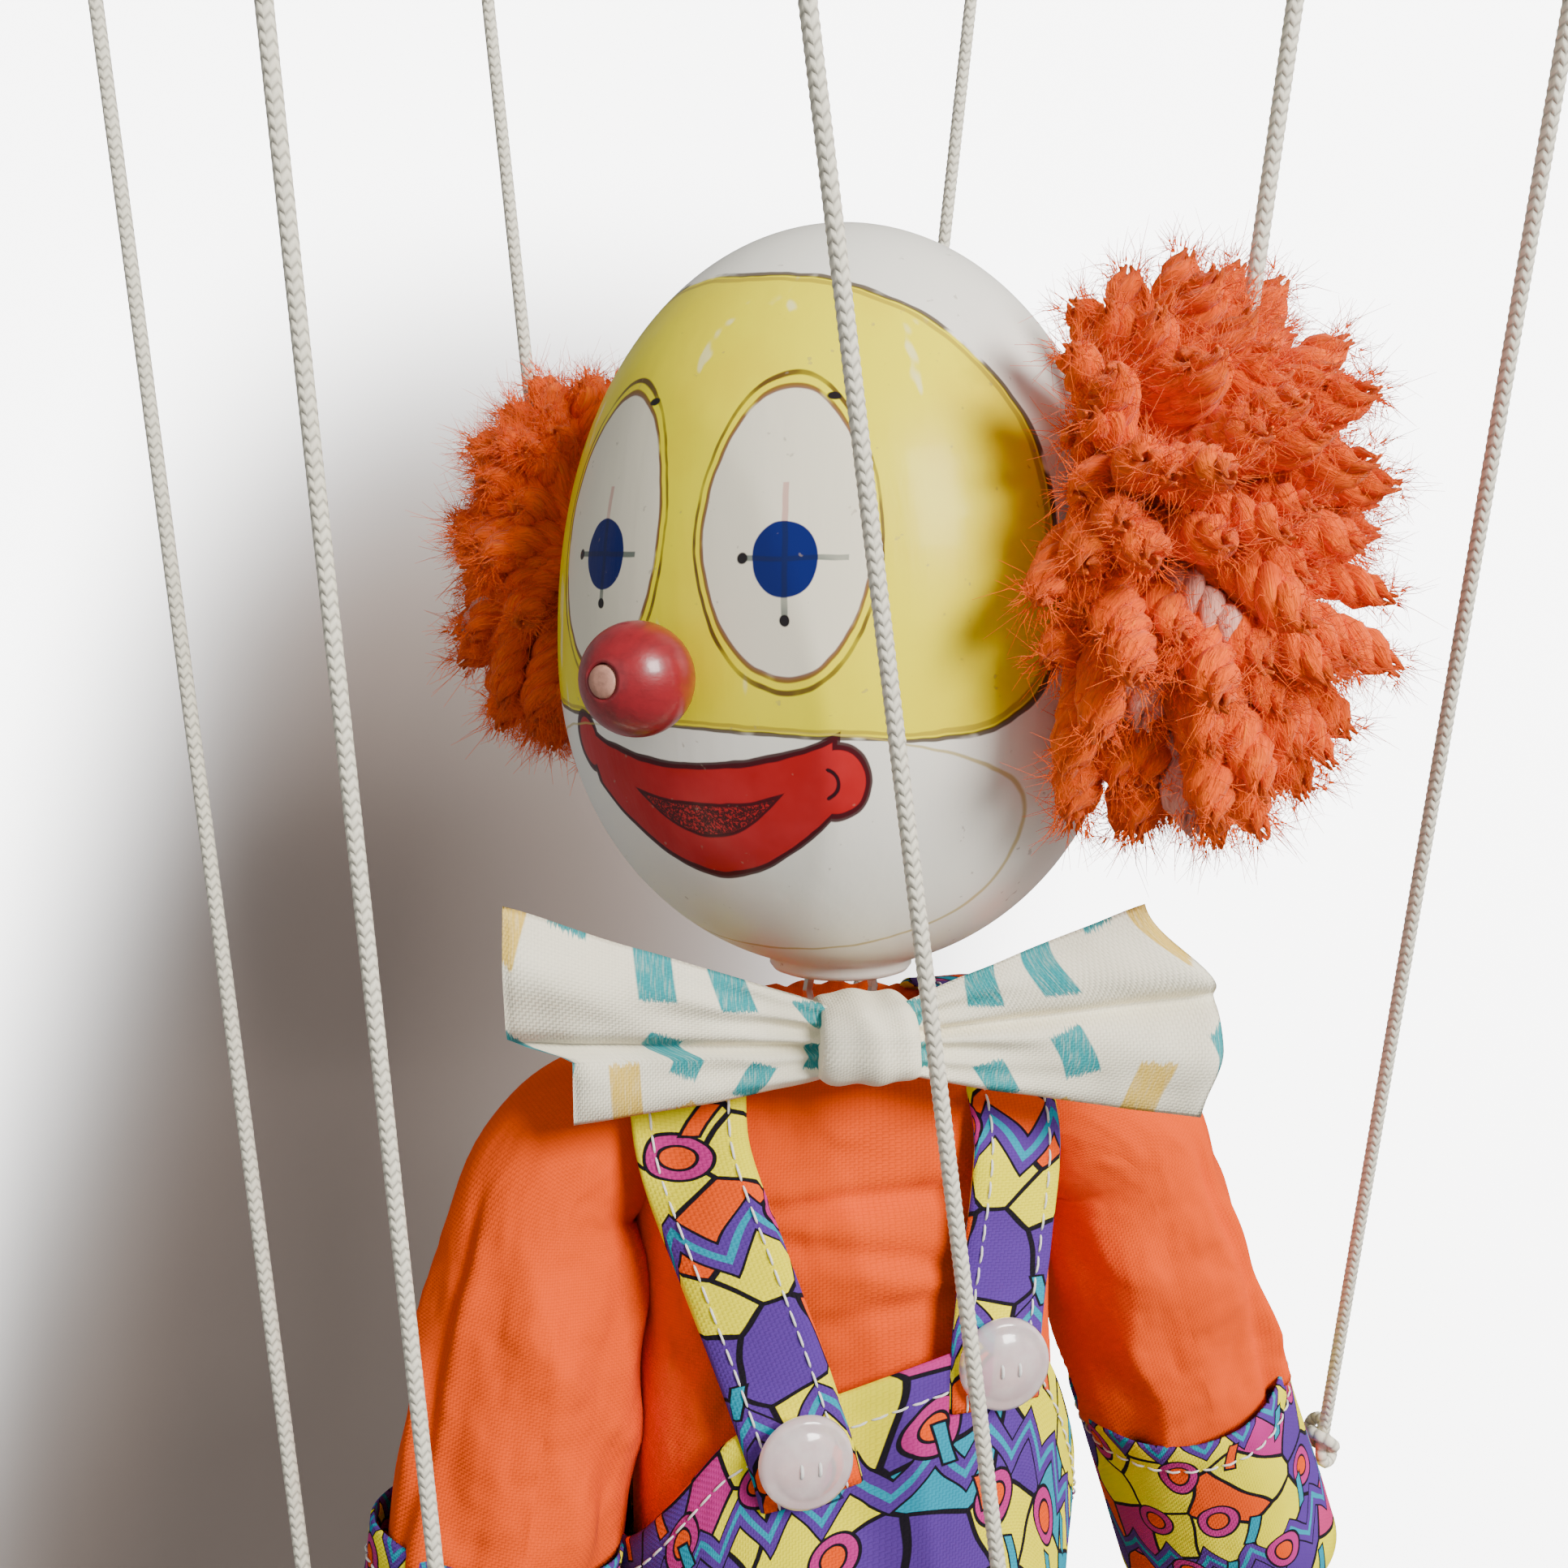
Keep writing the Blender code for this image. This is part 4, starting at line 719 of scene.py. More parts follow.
def yarn_finish(name, base, pale):
    """Fuzzy acrylic yarn: fibres along the strand, with painted shade in the darker fibres and painted glints
    in the paler ones.
    """
    finish = Finish(name)
    u, v, _ = finish.parts(finish.cloth())
    place = finish.place()
    fibre = finish.noise(finish.joined(u * 1500.0 + v * 500.0, v * 420.0), 1.0, 3.0, 0.65)
    clump = finish.noise(place, 260.0, 3.0)
    # Painted shade: the lower fibres take a darker copy of the yarn's colour
    out = finish.mix(finish.step(fibre, 0.36, 0.58), tinted(base, 0.80), base)
    # Painted glints: the highest fibres take the pale colour
    out = finish.mix(finish.step(fibre, 0.56, 0.72) * 0.7, out, pale)
    out = finish.mix(finish.step(clump, 0.5, 0.8) * 0.3, out, pale)
    finish.set(Base_Color=out, Roughness=0.88, Sheen_Weight=0.12, Sheen_Roughness=0.45,
               Specular_IOR_Level=0.2)
    finish.bump(fibre, 0.0006, 0.9)
    return finish.material


def braid_finish():
    """White braided cord: two families of strands that cross, with painted shade in the grooves between them.
    """
    finish = Finish("braided_cord")
    u, v, _ = finish.parts(finish.cloth())
    pitch = 0.00115
    left = finish.math("FRACT", v / pitch + u * 4.0)
    right = finish.math("FRACT", v / pitch - u * 4.0)
    a = finish.math("SINE", left * math.pi)
    b = finish.math("SINE", right * math.pi)
    side = finish.step(finish.math("SINE", u * (8.0 * math.pi)), -0.15, 0.15)
    strand = a + (b - a) * side
    fibre = finish.noise(finish.joined(u * 60.0, v * 5000.0), 1.0, 2.0)
    soil = finish.noise(finish.joined(u * 2.0, v * 60.0), 1.0, 3.0)
    base = shades("cord")
    # Painted shade: darker where the strands lie low, in the grooves between them
    out = finish.mix(finish.step(strand, 0.05, 0.75), tinted(base, 0.60), base)
    out = finish.mix(finish.step(soil, 0.45, 0.8) * 0.3, out, (0.66, 0.60, 0.46))
    finish.set(Base_Color=out, Roughness=0.72, Sheen_Weight=0.2, Specular_IOR_Level=0.3)
    finish.bump(strand * 0.85 + fibre * 0.15, 0.00022, 0.9)
    return finish.material


def bright_steel():
    """Plated wire and screws, a little dull with handling."""
    finish = Finish("plated_steel")
    place = finish.place()
    dull = finish.noise(place, 500.0, 4.0)
    out = finish.mix(finish.step(dull, 0.45, 0.75) * 0.5, (0.62, 0.61, 0.58), (0.36, 0.34, 0.31))
    finish.set(Base_Color=out, Metallic=1.0, Roughness=dull * 0.3 + 0.18)
    finish.bump(dull, 0.00004, 0.4)
    return finish.material


def clear_plastic():
    """Clear, faintly pink moulded plastic."""
    finish = Finish("clear_pink_plastic")
    place = finish.place()
    cloud = finish.noise(place, 420.0, 3.0)
    out = finish.mix(finish.step(cloud, 0.35, 0.75), (0.80, 0.66, 0.65), (0.88, 0.79, 0.77))
    finish.set(Base_Color=out, Roughness=cloud * 0.12 + 0.10, Transmission_Weight=0.45, IOR=1.47,
               Coat_Weight=0.4, Coat_Roughness=0.05)
    finish.bump(cloud, 0.00006, 0.3)
    return finish.material


def thread_finish():
    """White sewing thread."""
    finish = Finish("white_thread")
    place = finish.place()
    twist = finish.noise(place, 2600.0, 2.0)
    out = finish.mix(twist, (0.70, 0.68, 0.64), (0.90, 0.89, 0.86))
    finish.set(Base_Color=out, Roughness=0.7, Sheen_Weight=0.2)
    finish.bump(twist, 0.0001, 0.5)
    return finish.material


FINISHES = {}
CONTROL_HEADING = 42.0
ALONG = 45.0
ACROSS = 700.0
MAKERS = {
    "face": face_paint,
    "white": lambda: gloss_paint("white_gloss_paint", shades("white")),
    "red": lambda: gloss_paint("red_gloss_paint", shades("red")),
    "black": lambda: gloss_paint("black_gloss_paint", (0.018, 0.016, 0.016)),
    "nose": lambda: grained_wood("red_stained_wood", shades("nose"), (700.0, 90.0, 700.0), 0.36, 0.25),
    "peg": lambda: grained_wood("end_grain", (0.50, 0.24, 0.17), (1500.0, 1500.0, 1500.0), 0.6),
    "wood": lambda: grained_wood("bare_wood", shades("wood"), (ALONG, ACROSS, ACROSS),
                                 heading=CONTROL_HEADING),
    "cross_wood": lambda: grained_wood("bare_cross_wood", shades("wood"), (ACROSS, ALONG, ACROSS),
                                       heading=CONTROL_HEADING),
    "limb_wood": lambda: grained_wood("bare_limb_wood", shades("wood"), (ACROSS, ACROSS, ALONG)),
    "yarn": lambda: yarn_finish("orange_yarn", shades("yarn"), (1.0, 0.25, 0.003)),
    "pale_yarn": lambda: yarn_finish("pale_yarn", (0.85, 0.40, 0.30), (0.92, 0.60, 0.52)),
    "orange": lambda: cotton("orange_cotton", shades("orange"), 0.70, 1.5),
    "print": lambda: cotton("printed_cotton", print_pattern),
    "cream": lambda: cotton("dabbed_cotton", dab_pattern, 0.86),
    "plain_cream": lambda: cotton("cream_cotton", shades("cream"), 0.86),
    "cord": braid_finish,
    "steel": bright_steel,
    "clear": clear_plastic,
    "thread": thread_finish,
}


def finish_of(name):
    """A finish, made once."""
    if name not in FINISHES:
        FINISHES[name] = MAKERS[name]()
    return FINISHES[name]


# Stage, in metres
FLOOR = -0.66
FLOOR_FRONT = -2.4
WALL = 0.115
WALL_TOP = 1.6
WALL_BEND = 0.10
WALL_HALF_WIDTH = 9.0
VIEW_HEADING = math.radians(-15)
VIEW_TILT = math.radians(84)
VIEW_PLACE = (-0.0584, -0.1925, -0.2774)
SENSOR = 36.0
PHOTO_SIDE = 1932
FOCAL_PIXELS = 2160
CHEST = (0, 0, -0.30)


def stage_sheet(name):
    """A pale floor that curves up into a wall behind the figure, glowing save for a painted shadow; seen only
    from its front.
    """
    outline = [(FLOOR_FRONT, FLOOR), (WALL - WALL_BEND, FLOOR)]
    for k in range(1, 13):
        turn = math.radians(90 * k / 12)
        outline.append((WALL - WALL_BEND + WALL_BEND * math.sin(turn),
                        FLOOR + WALL_BEND - WALL_BEND * math.cos(turn)))
    outline.append((WALL, WALL_TOP))
    points = [(x, *place) for place in outline for x in (-WALL_HALF_WIDTH, WALL_HALF_WIDTH)]
    faces = [(2 * i, 2 * i + 1, 2 * i + 3, 2 * i + 2) for i in range(len(outline) - 1)]
    data = bpy.data.meshes.new(name)
    data.from_pydata(points, [], faces)
    data.shade_smooth()
    made = bpy.data.objects.new(name, data)
    bpy.context.collection.objects.link(made)
    made.rotation_euler = (0, 0, VIEW_HEADING)
    finish = Finish("pale_backdrop")
    place = finish.place()
    tone = finish.noise(place, 9.0, 3.0)
    x, _, z = finish.parts(place)
    # Painted shadow: a soft patch beside the figure, from head height down, where the sheet is darker and has
    # no glow
    painted_shadow = finish.step(x - (z + 0.30) * 0.35, -0.155, -0.080) * finish.step(z, -0.200, -0.290)
    painted_shadow = painted_shadow * finish.step(x, 0.050, -0.045) * finish.step(z, -0.60, -0.46)
    plain = finish.mix(tone, (0.88, 0.87, 0.86), (0.91, 0.905, 0.90))
    # Darker colour in the painted shadow; the emission makes the rest of the sheet glow
    finish.set(Base_Color=finish.mix(painted_shadow, plain, (0.40, 0.325, 0.285)), Roughness=0.9,
               Emission_Color=finish.mix((1.0 - painted_shadow) ** 3.0, (0, 0, 0), (1, 1, 1)), Emission_Strength=6.0)
    behind = finish.node("ShaderNodeNewGeometry", {}, {}, "Backfacing")
    front = Value(finish, finish.shader.outputs[0])
    clear = finish.node("ShaderNodeBsdfTransparent")
    both = finish.node("ShaderNodeMixShader", {}, {0: behind, 1: front, 2: clear})
    finish.link(finish.tree.nodes["Material Output"].inputs["Surface"], both)
    data.materials.append(finish.material)
    made.visible_diffuse = False
    made.visible_glossy = False


def area_light(name, place, size, power, tone=(1, 1, 1)):
    """One soft studio light, aimed at the chest."""
    lamp = bpy.data.lights.new(name, "AREA")
    lamp.shape = "RECTANGLE"
    lamp.size, lamp.size_y = size
    lamp.energy = power
    lamp.color = tone
    made = bpy.data.objects.new(name, lamp)
    bpy.context.collection.objects.link(made)
    made.location = place
    made.rotation_euler = (Vector(CHEST) - Vector(place)).to_track_quat("-Z", "Y").to_euler()


class MARIONETTE_OT_stage(bpy.types.Operator):
    """Camera, soft lights and a pale backdrop"""
    bl_idname = "marionette.stage"
    bl_label = "Stage"

    def execute(self, context):
        camera = bpy.data.cameras.new("view")
        camera.sensor_width = SENSOR
        camera.lens = SENSOR * FOCAL_PIXELS / PHOTO_SIDE
        camera.clip_start = 0.01
        made = bpy.data.objects.new("view", camera)
        bpy.context.collection.objects.link(made)
        made.location = VIEW_PLACE
        made.rotation_euler = (VIEW_TILT, 0, VIEW_HEADING)
        context.scene.camera = made
        stage_sheet("backdrop")
        area_light("key", (0.34, -0.78, 0.12), (0.34, 0.34), 17.5, (1.0, 0.985, 0.96))
        area_light("fill", (-0.75, -0.55, -0.15), (0.9, 0.9), 1.6, (0.96, 0.98, 1.0))
        area_light("side", (0.70, -0.10, -0.10), (0.6, 0.6), 3.0)
        world = bpy.data.worlds.new("studio")
        world.use_nodes = True
        sky = world.node_tree.nodes["Background"].inputs
        sky["Color"].default_value = (1, 1, 1, 1)
        sky["Strength"].default_value = 0.29
        context.scene.world = world
        return {"FINISHED"}


# Cords, in metres: the body that holds the lower end, the hole in the control, the lower end, and two
# distances from the lower end, along the cord
CROSS_FOOT = -0.0166
CROSS_TOP = -0.0093
CORDS = {
    "left_knee_cord": ("left_thigh", (-0.053352, -0.07226, CROSS_FOOT), (0.028803, -0.0172, -0.497781),
                       (0.088, 0.043)),
    "right_knee_cord": ("right_thigh", (-0.077441, -0.045507, CROSS_FOOT), (-0.038981, -0.013737, -0.495894),
                        (0.060, 0.004)),
    "left_head_cord": ("head", (0.050854, -0.056479, CROSS_FOOT), (0.030111, -0.033442, -0.2623),
                       (0.240, 0.004)),
    "right_head_cord": ("head", (-0.050854, 0.056479, CROSS_FOOT), (-0.030111, 0.033442, -0.2623),
                        (0.240, 0.004)),
    "left_hand_cord": ("left_arm", (0.046108, -0.106504, CROSS_FOOT), (0.073368, 0.01204, -0.393895),
                       (0.120, 0.004)),
    "right_hand_cord": ("right_arm", (-0.101101, 0.056988, CROSS_FOOT), (-0.060436, -0.002273, -0.402352),
                        (0.120, 0.004)),
    "seat_cord": ("torso", (0.05202, 0.046839, CROSS_TOP), (0.0, 0.0232, -0.412003), None),
}
BAR_TOP = {"seat_cord": 0.0}
KNOT_RISE = 0.0022
BRAID_STEP = 0.00045

# A cord's way down: share of its length and share of its slack
CORD_ROUTE = ((0.004, 0.0), (0.12, 0.0), (0.3, 0.7), (0.5, 1.0), (0.75, 0.6), (1.0, 0.0))


def knot(name, middle, diameter, turn):
    """A tight overhand knot in the cord."""
    path = []
    size = diameter * 0.62
    for t in turns(48):
        x = math.sin(t) + 2 * math.sin(2 * t)
        y = math.cos(t) - 2 * math.cos(2 * t)
        path.append(Vector((x, y, -math.sin(3 * t))) * size)
    rows = sweep(path, lambda i, a: diameter * 0.47, 8)
    lie = Matrix.Rotation(turn, 4, "Z") @ Matrix.Rotation(math.radians(70), 4, "X")
    return skin(name, [[p / MM for p in row] for row in rows + rows[:1]], Matrix.Translation(middle) @ lie)


def braided(name, path, diameter):
    """A cord as a tube with the ripple of its braid."""
    length = path_length(path)
    line = smooth_path(path, int(length / BRAID_STEP))

    def swell(i, turn):
        return diameter / 2 * (0.97 + 0.055 * math.cos(math.pi * i + 2 * turn))

    rows = sweep(line, swell, 10)
    made = skin(name, [[p / MM for p in row] for row in rows], Matrix(), caps=(True, True))
    for corner in made.data.uv_layers["cloth"].data:
        corner.uv.x /= math.pi * diameter
    return made, line, length


class MARIONETTE_OT_cords(bpy.types.Operator):
    """Braided cords with their knots"""
    bl_idname = "marionette.cords"
    bl_label = "Cords"

    def execute(self, context):
        diameter = sizes().cord_diameter
        for name, (body, top, foot, free) in CORDS.items():
            top = Vector(top)
            foot = Vector(foot)
            above = Vector((top.x, top.y, BAR_TOP.get(name, CROSS_TOP) + KNOT_RISE))
            slack = UP.cross(foot - top).normalized() * (0.0012 if body == "torso" else 0.0006)
            route = [above] + [top.lerp(foot, share) + slack * loose for share, loose in CORD_ROUTE]
            piece, line, length = braided(f"{name}_braid", route, diameter)
            upper = knot(f"{name}_upper_knot", above + UP * 0.0012, diameter, 0.4)
            lower = knot(f"{name}_lower_knot", foot + UP * 0.001, diameter, 1.3)
            finish_piece(upper, finish_of("cord"), "torso")
            finish_piece(lower, finish_of("cord"), body)
            finish_piece(piece, finish_of("cord"), None, (name,))
            if body == "torso":
                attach(piece, "torso")
            else:
                rise = (top - foot).normalized()
                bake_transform(piece)
            [tuple(p) for p in line[::12] + [line[-1]]]
        return {"FINISHED"}


# Turned head, in millimetres
HEAD_RADIUS = 32.2
HEAD_WIDEST = -5.0
HEAD_ABOVE = 47.0
HEAD_BELOW = 36.5
LIP_RADIUS = 8.2
HEAD_FOOT = -42.15
ABOVE_POWER = 2.25
BELOW_POWER = 2.1
NOSE_HEIGHT = -7.0
NOSE_RADIUS = 5.65
NOSE_BORE = 1.75

# Radius and rise from the foot of the head's socket and lip, from the inside out
HEAD_LIP = ((0.4, 10.0), (5.6, 9.8), (5.7, 0.8), (6.2, 0.15), (7.0, 0.0), (7.8, 0.3), (8.25, 0.9), (8.2, 1.5))

# Radius and distance from the nose's tip of the peg's end
PEG_END = ((1.65, 13.0), (1.7, 0.35), (1.45, 0.02), (0.7, -0.05), (0.05, -0.06))


def head_radius(height):
    """The head's radius at a height from its middle."""
    away = height - HEAD_WIDEST
    share = (away / HEAD_ABOVE) ** ABOVE_POWER if away >= 0 else (-away / HEAD_BELOW) ** BELOW_POWER
    return HEAD_RADIUS * math.sqrt(max(0.0, 1 - share))


def turned_rows(profile, count):
    """Rings about Z from (radius, height) pairs."""
    rows = []
    for radius, height in profile:
        rows.append([Vector((radius * math.cos(t), radius * math.sin(t), height)) for t in turns(count)])
    return rows


def bored_bead(name, radius, bore, middle, base):
    """A bead with a bore along its own Y axis and softly rounded mouths."""
    profile = []
    low = math.asin(bore / radius)
    for k in range(33):
        turn = -math.pi / 2 + low + (math.pi - 2 * low) * k / 32
        profile.append((radius * math.cos(turn), radius * math.sin(turn)))
    deep = radius * 0.7
    profile = [(bore, -deep)] + profile + [(bore, deep)]
    rows = []
    for row in turned_rows(profile, 48):
        rows.append([middle + Vector((p.x, p.z, -p.y)) for p in row])
    return skin(name, rows, base, caps=(True, True))


class MARIONETTE_OT_head(bpy.types.Operator):
    """Turned and painted head with its bead nose"""
    bl_idname = "marionette.head"
    bl_label = "Head"

    def execute(self, context):
        lip_top = HEAD_WIDEST - HEAD_BELOW * (1 - (LIP_RADIUS / HEAD_RADIUS) ** 2) ** (1 / BELOW_POWER)
        profile = [(radius, HEAD_FOOT + rise) for radius, rise in HEAD_LIP]
        low = math.asin((lip_top + 0.25 - HEAD_WIDEST) / HEAD_BELOW)
        for k in range(90):
            turn = low + (math.radians(89.4) - low) * k / 89
            away = HEAD_ABOVE if turn > 0 else HEAD_BELOW
            height = HEAD_WIDEST + away * math.sin(turn)
            profile.append((max(0.05, head_radius(height)), height))
        head = skin("painted_head", turned_rows(profile, 144), HEAD, caps=(True, True))
        finish_piece(head, finish_of("face"), "head", ("head",))
        face = head_radius(NOSE_HEIGHT)
        middle = Vector((0, -(face + 0.3 + NOSE_RADIUS), NOSE_HEIGHT))
        bead = bored_bead("bead_nose", NOSE_RADIUS, NOSE_BORE, middle, HEAD)
        finish_piece(bead, finish_of("nose"), "head", ("nose_bead",))
        tip = middle.y - NOSE_RADIUS * 0.985
        rows = []
        for radius, back in PEG_END:
            row = []
            for turn in turns(28):
                rise = math.sin(turn) * (1.0 if math.sin(turn) < 0 else 0.92)
                row.append(Vector((radius * math.cos(turn), tip + back, NOSE_HEIGHT + radius * rise)))
            rows.append(row)
        peg = skin("nose_peg_end", rows, HEAD, caps=(True, True), flip=True)
        finish_piece(peg, finish_of("peg"), "head", ("nose_peg",))
        return {"FINISHED"}


# Hair tufts, in millimetres in the head's frame
TUFT_REACH = {"right": 38.0, "left": 40.0}
TUFT_HEIGHT = 6.0
TUFT_SIZE = {"right": (15.0, 18.0, 23.0), "left": (21.0, 24.0, 28.5)}
TUFT_ROOT = 33.5
HEAD_CLEARANCE = 2.6
GOLDEN_TURN = 2.39996
TWIST_LENGTH = 8.0
STRAND_ROUND = 0.016
FIBRE_WIDTH = 0.058
THINNING = (0.86, 1.0)

# Loose fibres: points of the path they grow from, thickness there, number, length and lean
FLUFF = ((0, 1.0, 110, 2.1, 1.6), (-7, 0.7, 80, 3.2, 2.6))


def hairs(draw, path, thick, count, long, spread):
    """Short loose fibres that stand out of a strand: their points and faces."""
    points = []
    faces = []
    frames = frames_along(path)
    for _ in range(count):
        i = min(len(path) - 1, int(len(path) * draw.random() ** 0.6))
        tangent, n, b = frames[i]
        turn = draw.uniform(0, FULL_TURN)
        out = n * math.cos(turn) + b * math.sin(turn)
        root = path[i] + out * thick * 0.42
        way = (out * draw.uniform(0.3, 1.0) + tangent * draw.uniform(-0.2, 1.0) * spread).normalized()
        side = way.orthogonal().normalized()
        bend = Vector((draw.uniform(-1, 1), draw.uniform(-1, 1), draw.uniform(-1, 1))) * 0.8
        reach_out = draw.uniform(0.35, 1.0) * long
        first = len(points)
        for k in range(3):
            share = k / 2
            middle = root + (way + bend * share * share) * reach_out * share
            width = FIBRE_WIDTH * (1 - 0.7 * share)
            under = middle - side * width * 0.5
            across = way.cross(side) * width * 0.87
            points += [middle + side * width, under + across, under - across]
        for k in range(2):
            for c in range(3):
                a = first + 3 * k + c
                d = first + 3 * k + (c + 1) % 3
                faces.append((a, d, d + 3, a + 3))
    return points, faces


def strand_plies(path, thick, roll):
    """A strand of three plies that twist about each other and thin out at the cut end."""
    last = len(path) - 1
    frames = frames_along(path)
    plies = []
    for ply in (0, 1, 2):
        run = 0.0
        middle = []
        for i, point in enumerate(path):
            if i:
                run += (point - path[i - 1]).length
            turn = roll + ply * FULL_TURN / 3 + run * FULL_TURN / TWIST_LENGTH
            gather = 1 - 0.55 * ease(i / last, *THINNING)
            _, n, b = frames[i]
            middle.append(point + (n * math.cos(turn) + b * math.sin(turn)) * thick * 0.26 * gather)

        def round_ply(i, turn, phase=roll + ply):
            share = i / last
            close = 1 - 0.88 * ease(share, *THINNING)
            return thick * 0.27 * close * (1 + 0.10 * math.cos(3 * turn + 9 * share + phase))

        plies.append(sweep(middle, round_ply, 9))
    return plies


def join_rows(groups):
    """Points, faces and cloth map of many tubes as one mesh."""
    points = []
    faces = []
    uvs = []
    for rows in groups:
        count = len(rows[0])
        first = len(points)
        points += [p for row in rows for p in row]
        run = [length * MM for length in runs([row[0] for row in rows])]
        for r in range(len(rows) - 1):
            low = first + r * count
            high = low + count
            for i in range(count):
                j = (i + 1) % count
                left = i / count * STRAND_ROUND
                right = (i + 1) / count * STRAND_ROUND
                faces.append((low + i, low + j, high + j, high + i))
                uvs += [(left, run[r]), (right, run[r]), (right, run[r + 1]), (left, run[r + 1])]
        for end, order in ((0, -1), (len(rows) - 1, 1)):
            loop = [first + end * count + i for i in range(count)]
            faces.append(loop[::order])
            uvs += [(0.0, run[end])] * count
    return points, faces, uvs


def tubes(name, groups, base=FIGURE):
    """One piece of many tubes."""
    points, faces, uvs = join_rows(groups)
    return mesh_object(name, points, faces, base, uvs)


class MARIONETTE_OT_hair(bpy.types.Operator):
    """Two tufts of bulky plied yarn"""
    bl_idname = "marionette.hair"
    bl_label = "Hair"

    def execute(self, context):
        thick = sizes().yarn_diameter / MM
        total = sizes().yarn_strands
        for side, sign in SIDES:
            draw = random.Random(41 + sign)
            half = TUFT_SIZE[side]
            middle = Vector((sign * TUFT_REACH[side], 0, TUFT_HEIGHT))
            strands = []
            pale = []
            fuzz_points = []
            fuzz_faces = []
            for k in range(total):
                out = 0.94 - 1.27 * (k + 0.5) / total
                turn = k * GOLDEN_TURN + draw.uniform(-0.25, 0.25)
                flat = math.sqrt(max(0.0, 1 - out * out))
                way = Vector((sign * out, flat * math.cos(turn), flat * math.sin(turn)))
                tip = middle + way * Vector(half) * draw.uniform(0.84, 1.10)
                tip.z -= draw.uniform(0.0, 3.0)
                away = math.hypot(tip.x, tip.y)
                clear = head_radius(tip.z) + HEAD_CLEARANCE
                if away < clear:
                    grow = clear / max(1.0, away)
                    tip = Vector((tip.x * grow, tip.y * grow, tip.z))
                root = Vector((sign * TUFT_ROOT, 0, TUFT_HEIGHT + 3)) + Vector((0, way.y, way.z)) * 7.0
                sway = (sign * draw.uniform(0, 2.5), draw.uniform(-1.2, 1.2), draw.uniform(-0.5, 2.0))
                path = smooth_path([root, root.lerp(tip, 0.55) + Vector(sway), tip], 30)
                size = thick * draw.uniform(0.86, 1.10)
                bundle = pale if (way.z < -0.35 and draw.random() < 0.16) else strands
                bundle.extend(strand_plies(path, size, draw.uniform(0, 6)))
                for start, share, count, long, lean in FLUFF:
                    points, faces = hairs(draw, path[start:], size * share, count, long, lean)
                    first = len(fuzz_points)
                    fuzz_points += points
                    fuzz_faces += [tuple(first + c for c in face) for face in faces]
            for word, bundle, look, replaced in (("yarn_tuft", strands, "yarn", (f"{side}_hair_tuft",)),
                                                 ("pale_strands", pale, "pale_yarn", ())):
                if bundle:
                    made = tubes(f"{side}_{word}", bundle, HEAD)
                    finish_piece(made, finish_of(look), "head", replaced)
            uvs = [(0.0, 0.0)] * (4 * len(fuzz_faces))
            fluff = mesh_object(f"{side}_yarn_fluff", fuzz_points, fuzz_faces, HEAD, uvs)
            finish_piece(fluff, finish_of("yarn"), "head")
        return {"FINISHED"}


# Bow tie, in millimetres in its own frame
BOW_HALF_WIDTH = 37.0
BOW_Z = -45.0
BOW_Y = -23.4
BOW_BACK_Y = -13.45


def bow_wing(side, sign):
    """One wing: a loop of cloth pleated at the knot that opens into two lobes with a soft, round end."""
    columns = 48
    split = -0.18 if sign < 0 else 0.12
    rows = []
    for r in range(57):
        u = r / 56
        row = []
        for k in range(2 * columns):
            front = k < columns
            v = 1 - 2 * k / columns if front else -1 + 2 * (k - columns) / columns
            upper = v > split
            share = (v - split) / (1 - split) if upper else (split - v) / (1 + split)
            lobe = math.sin(math.pi * min(1.0, 0.06 + 0.94 * share)) ** 0.75
            strong = (1.0 if upper else 0.6) if sign < 0 else (0.75 if upper else 0.9)
            spread = u ** 0.85
            half = 3.0 + 8.3 * spread
            z = 2.7 * u + half * v
            if sign < 0:
                long = 1.0 if upper else 1 - 0.19 * ease(share, 0.0, 0.25)
            else:
                long = 1.0 - 0.22 * ease(v, 0.15, 1.0) - 0.05 * ease(-v, 0.3, 1.0)
            x = (BOW_HALF_WIDTH - 2.0) * u * long
            pleat = 0.40 * math.cos(15 * v + sign) * (1 - ease(u, 0.05, 0.75))
            pleat += 0.22 * math.cos(9 * v + 3 * u)
            crease = 1.3 * math.exp(-((v - split) / 0.10) ** 2) * ease(u, 0.0, 0.2)
            y = -(2.3 * strong * lobe * spread + pleat - crease)
            curl = ease(u, 0.62, 1.0) * ease(v, split, 0.7)
            if sign < 0:
                y += 0.8 * ease(u, 0.3, 1.0) - 2.6 * curl
                z += 1.2 * curl
                if not upper:
                    y += 1.1 * ease(u, 0.2, 0.8)
            else:
                y += 0.9 * ease(u, 0.4, 1.0) * v
            y += 0.55 * wander(x * 0.10, v * 2.2, u * 4, 3.0 + sign)
            close = math.sqrt(max(0.0, 1 - max(0.0, (u - 0.93) / 0.07) ** 2))
            thick = (0.4 + 1.5 * ease(u, 0.3, 0.85) * lobe) * (1 - abs(v) ** 14) * close
            y += -0.4 * thick if front else 1.6 * thick
            row.append(Vector((sign * (2.0 + x), BOW_Y + y, BOW_Z + z)))
        rows.append(row)
    return skin(f"{side}_bow_wing", rows, BOW, caps=(False, True), flip=sign > 0)


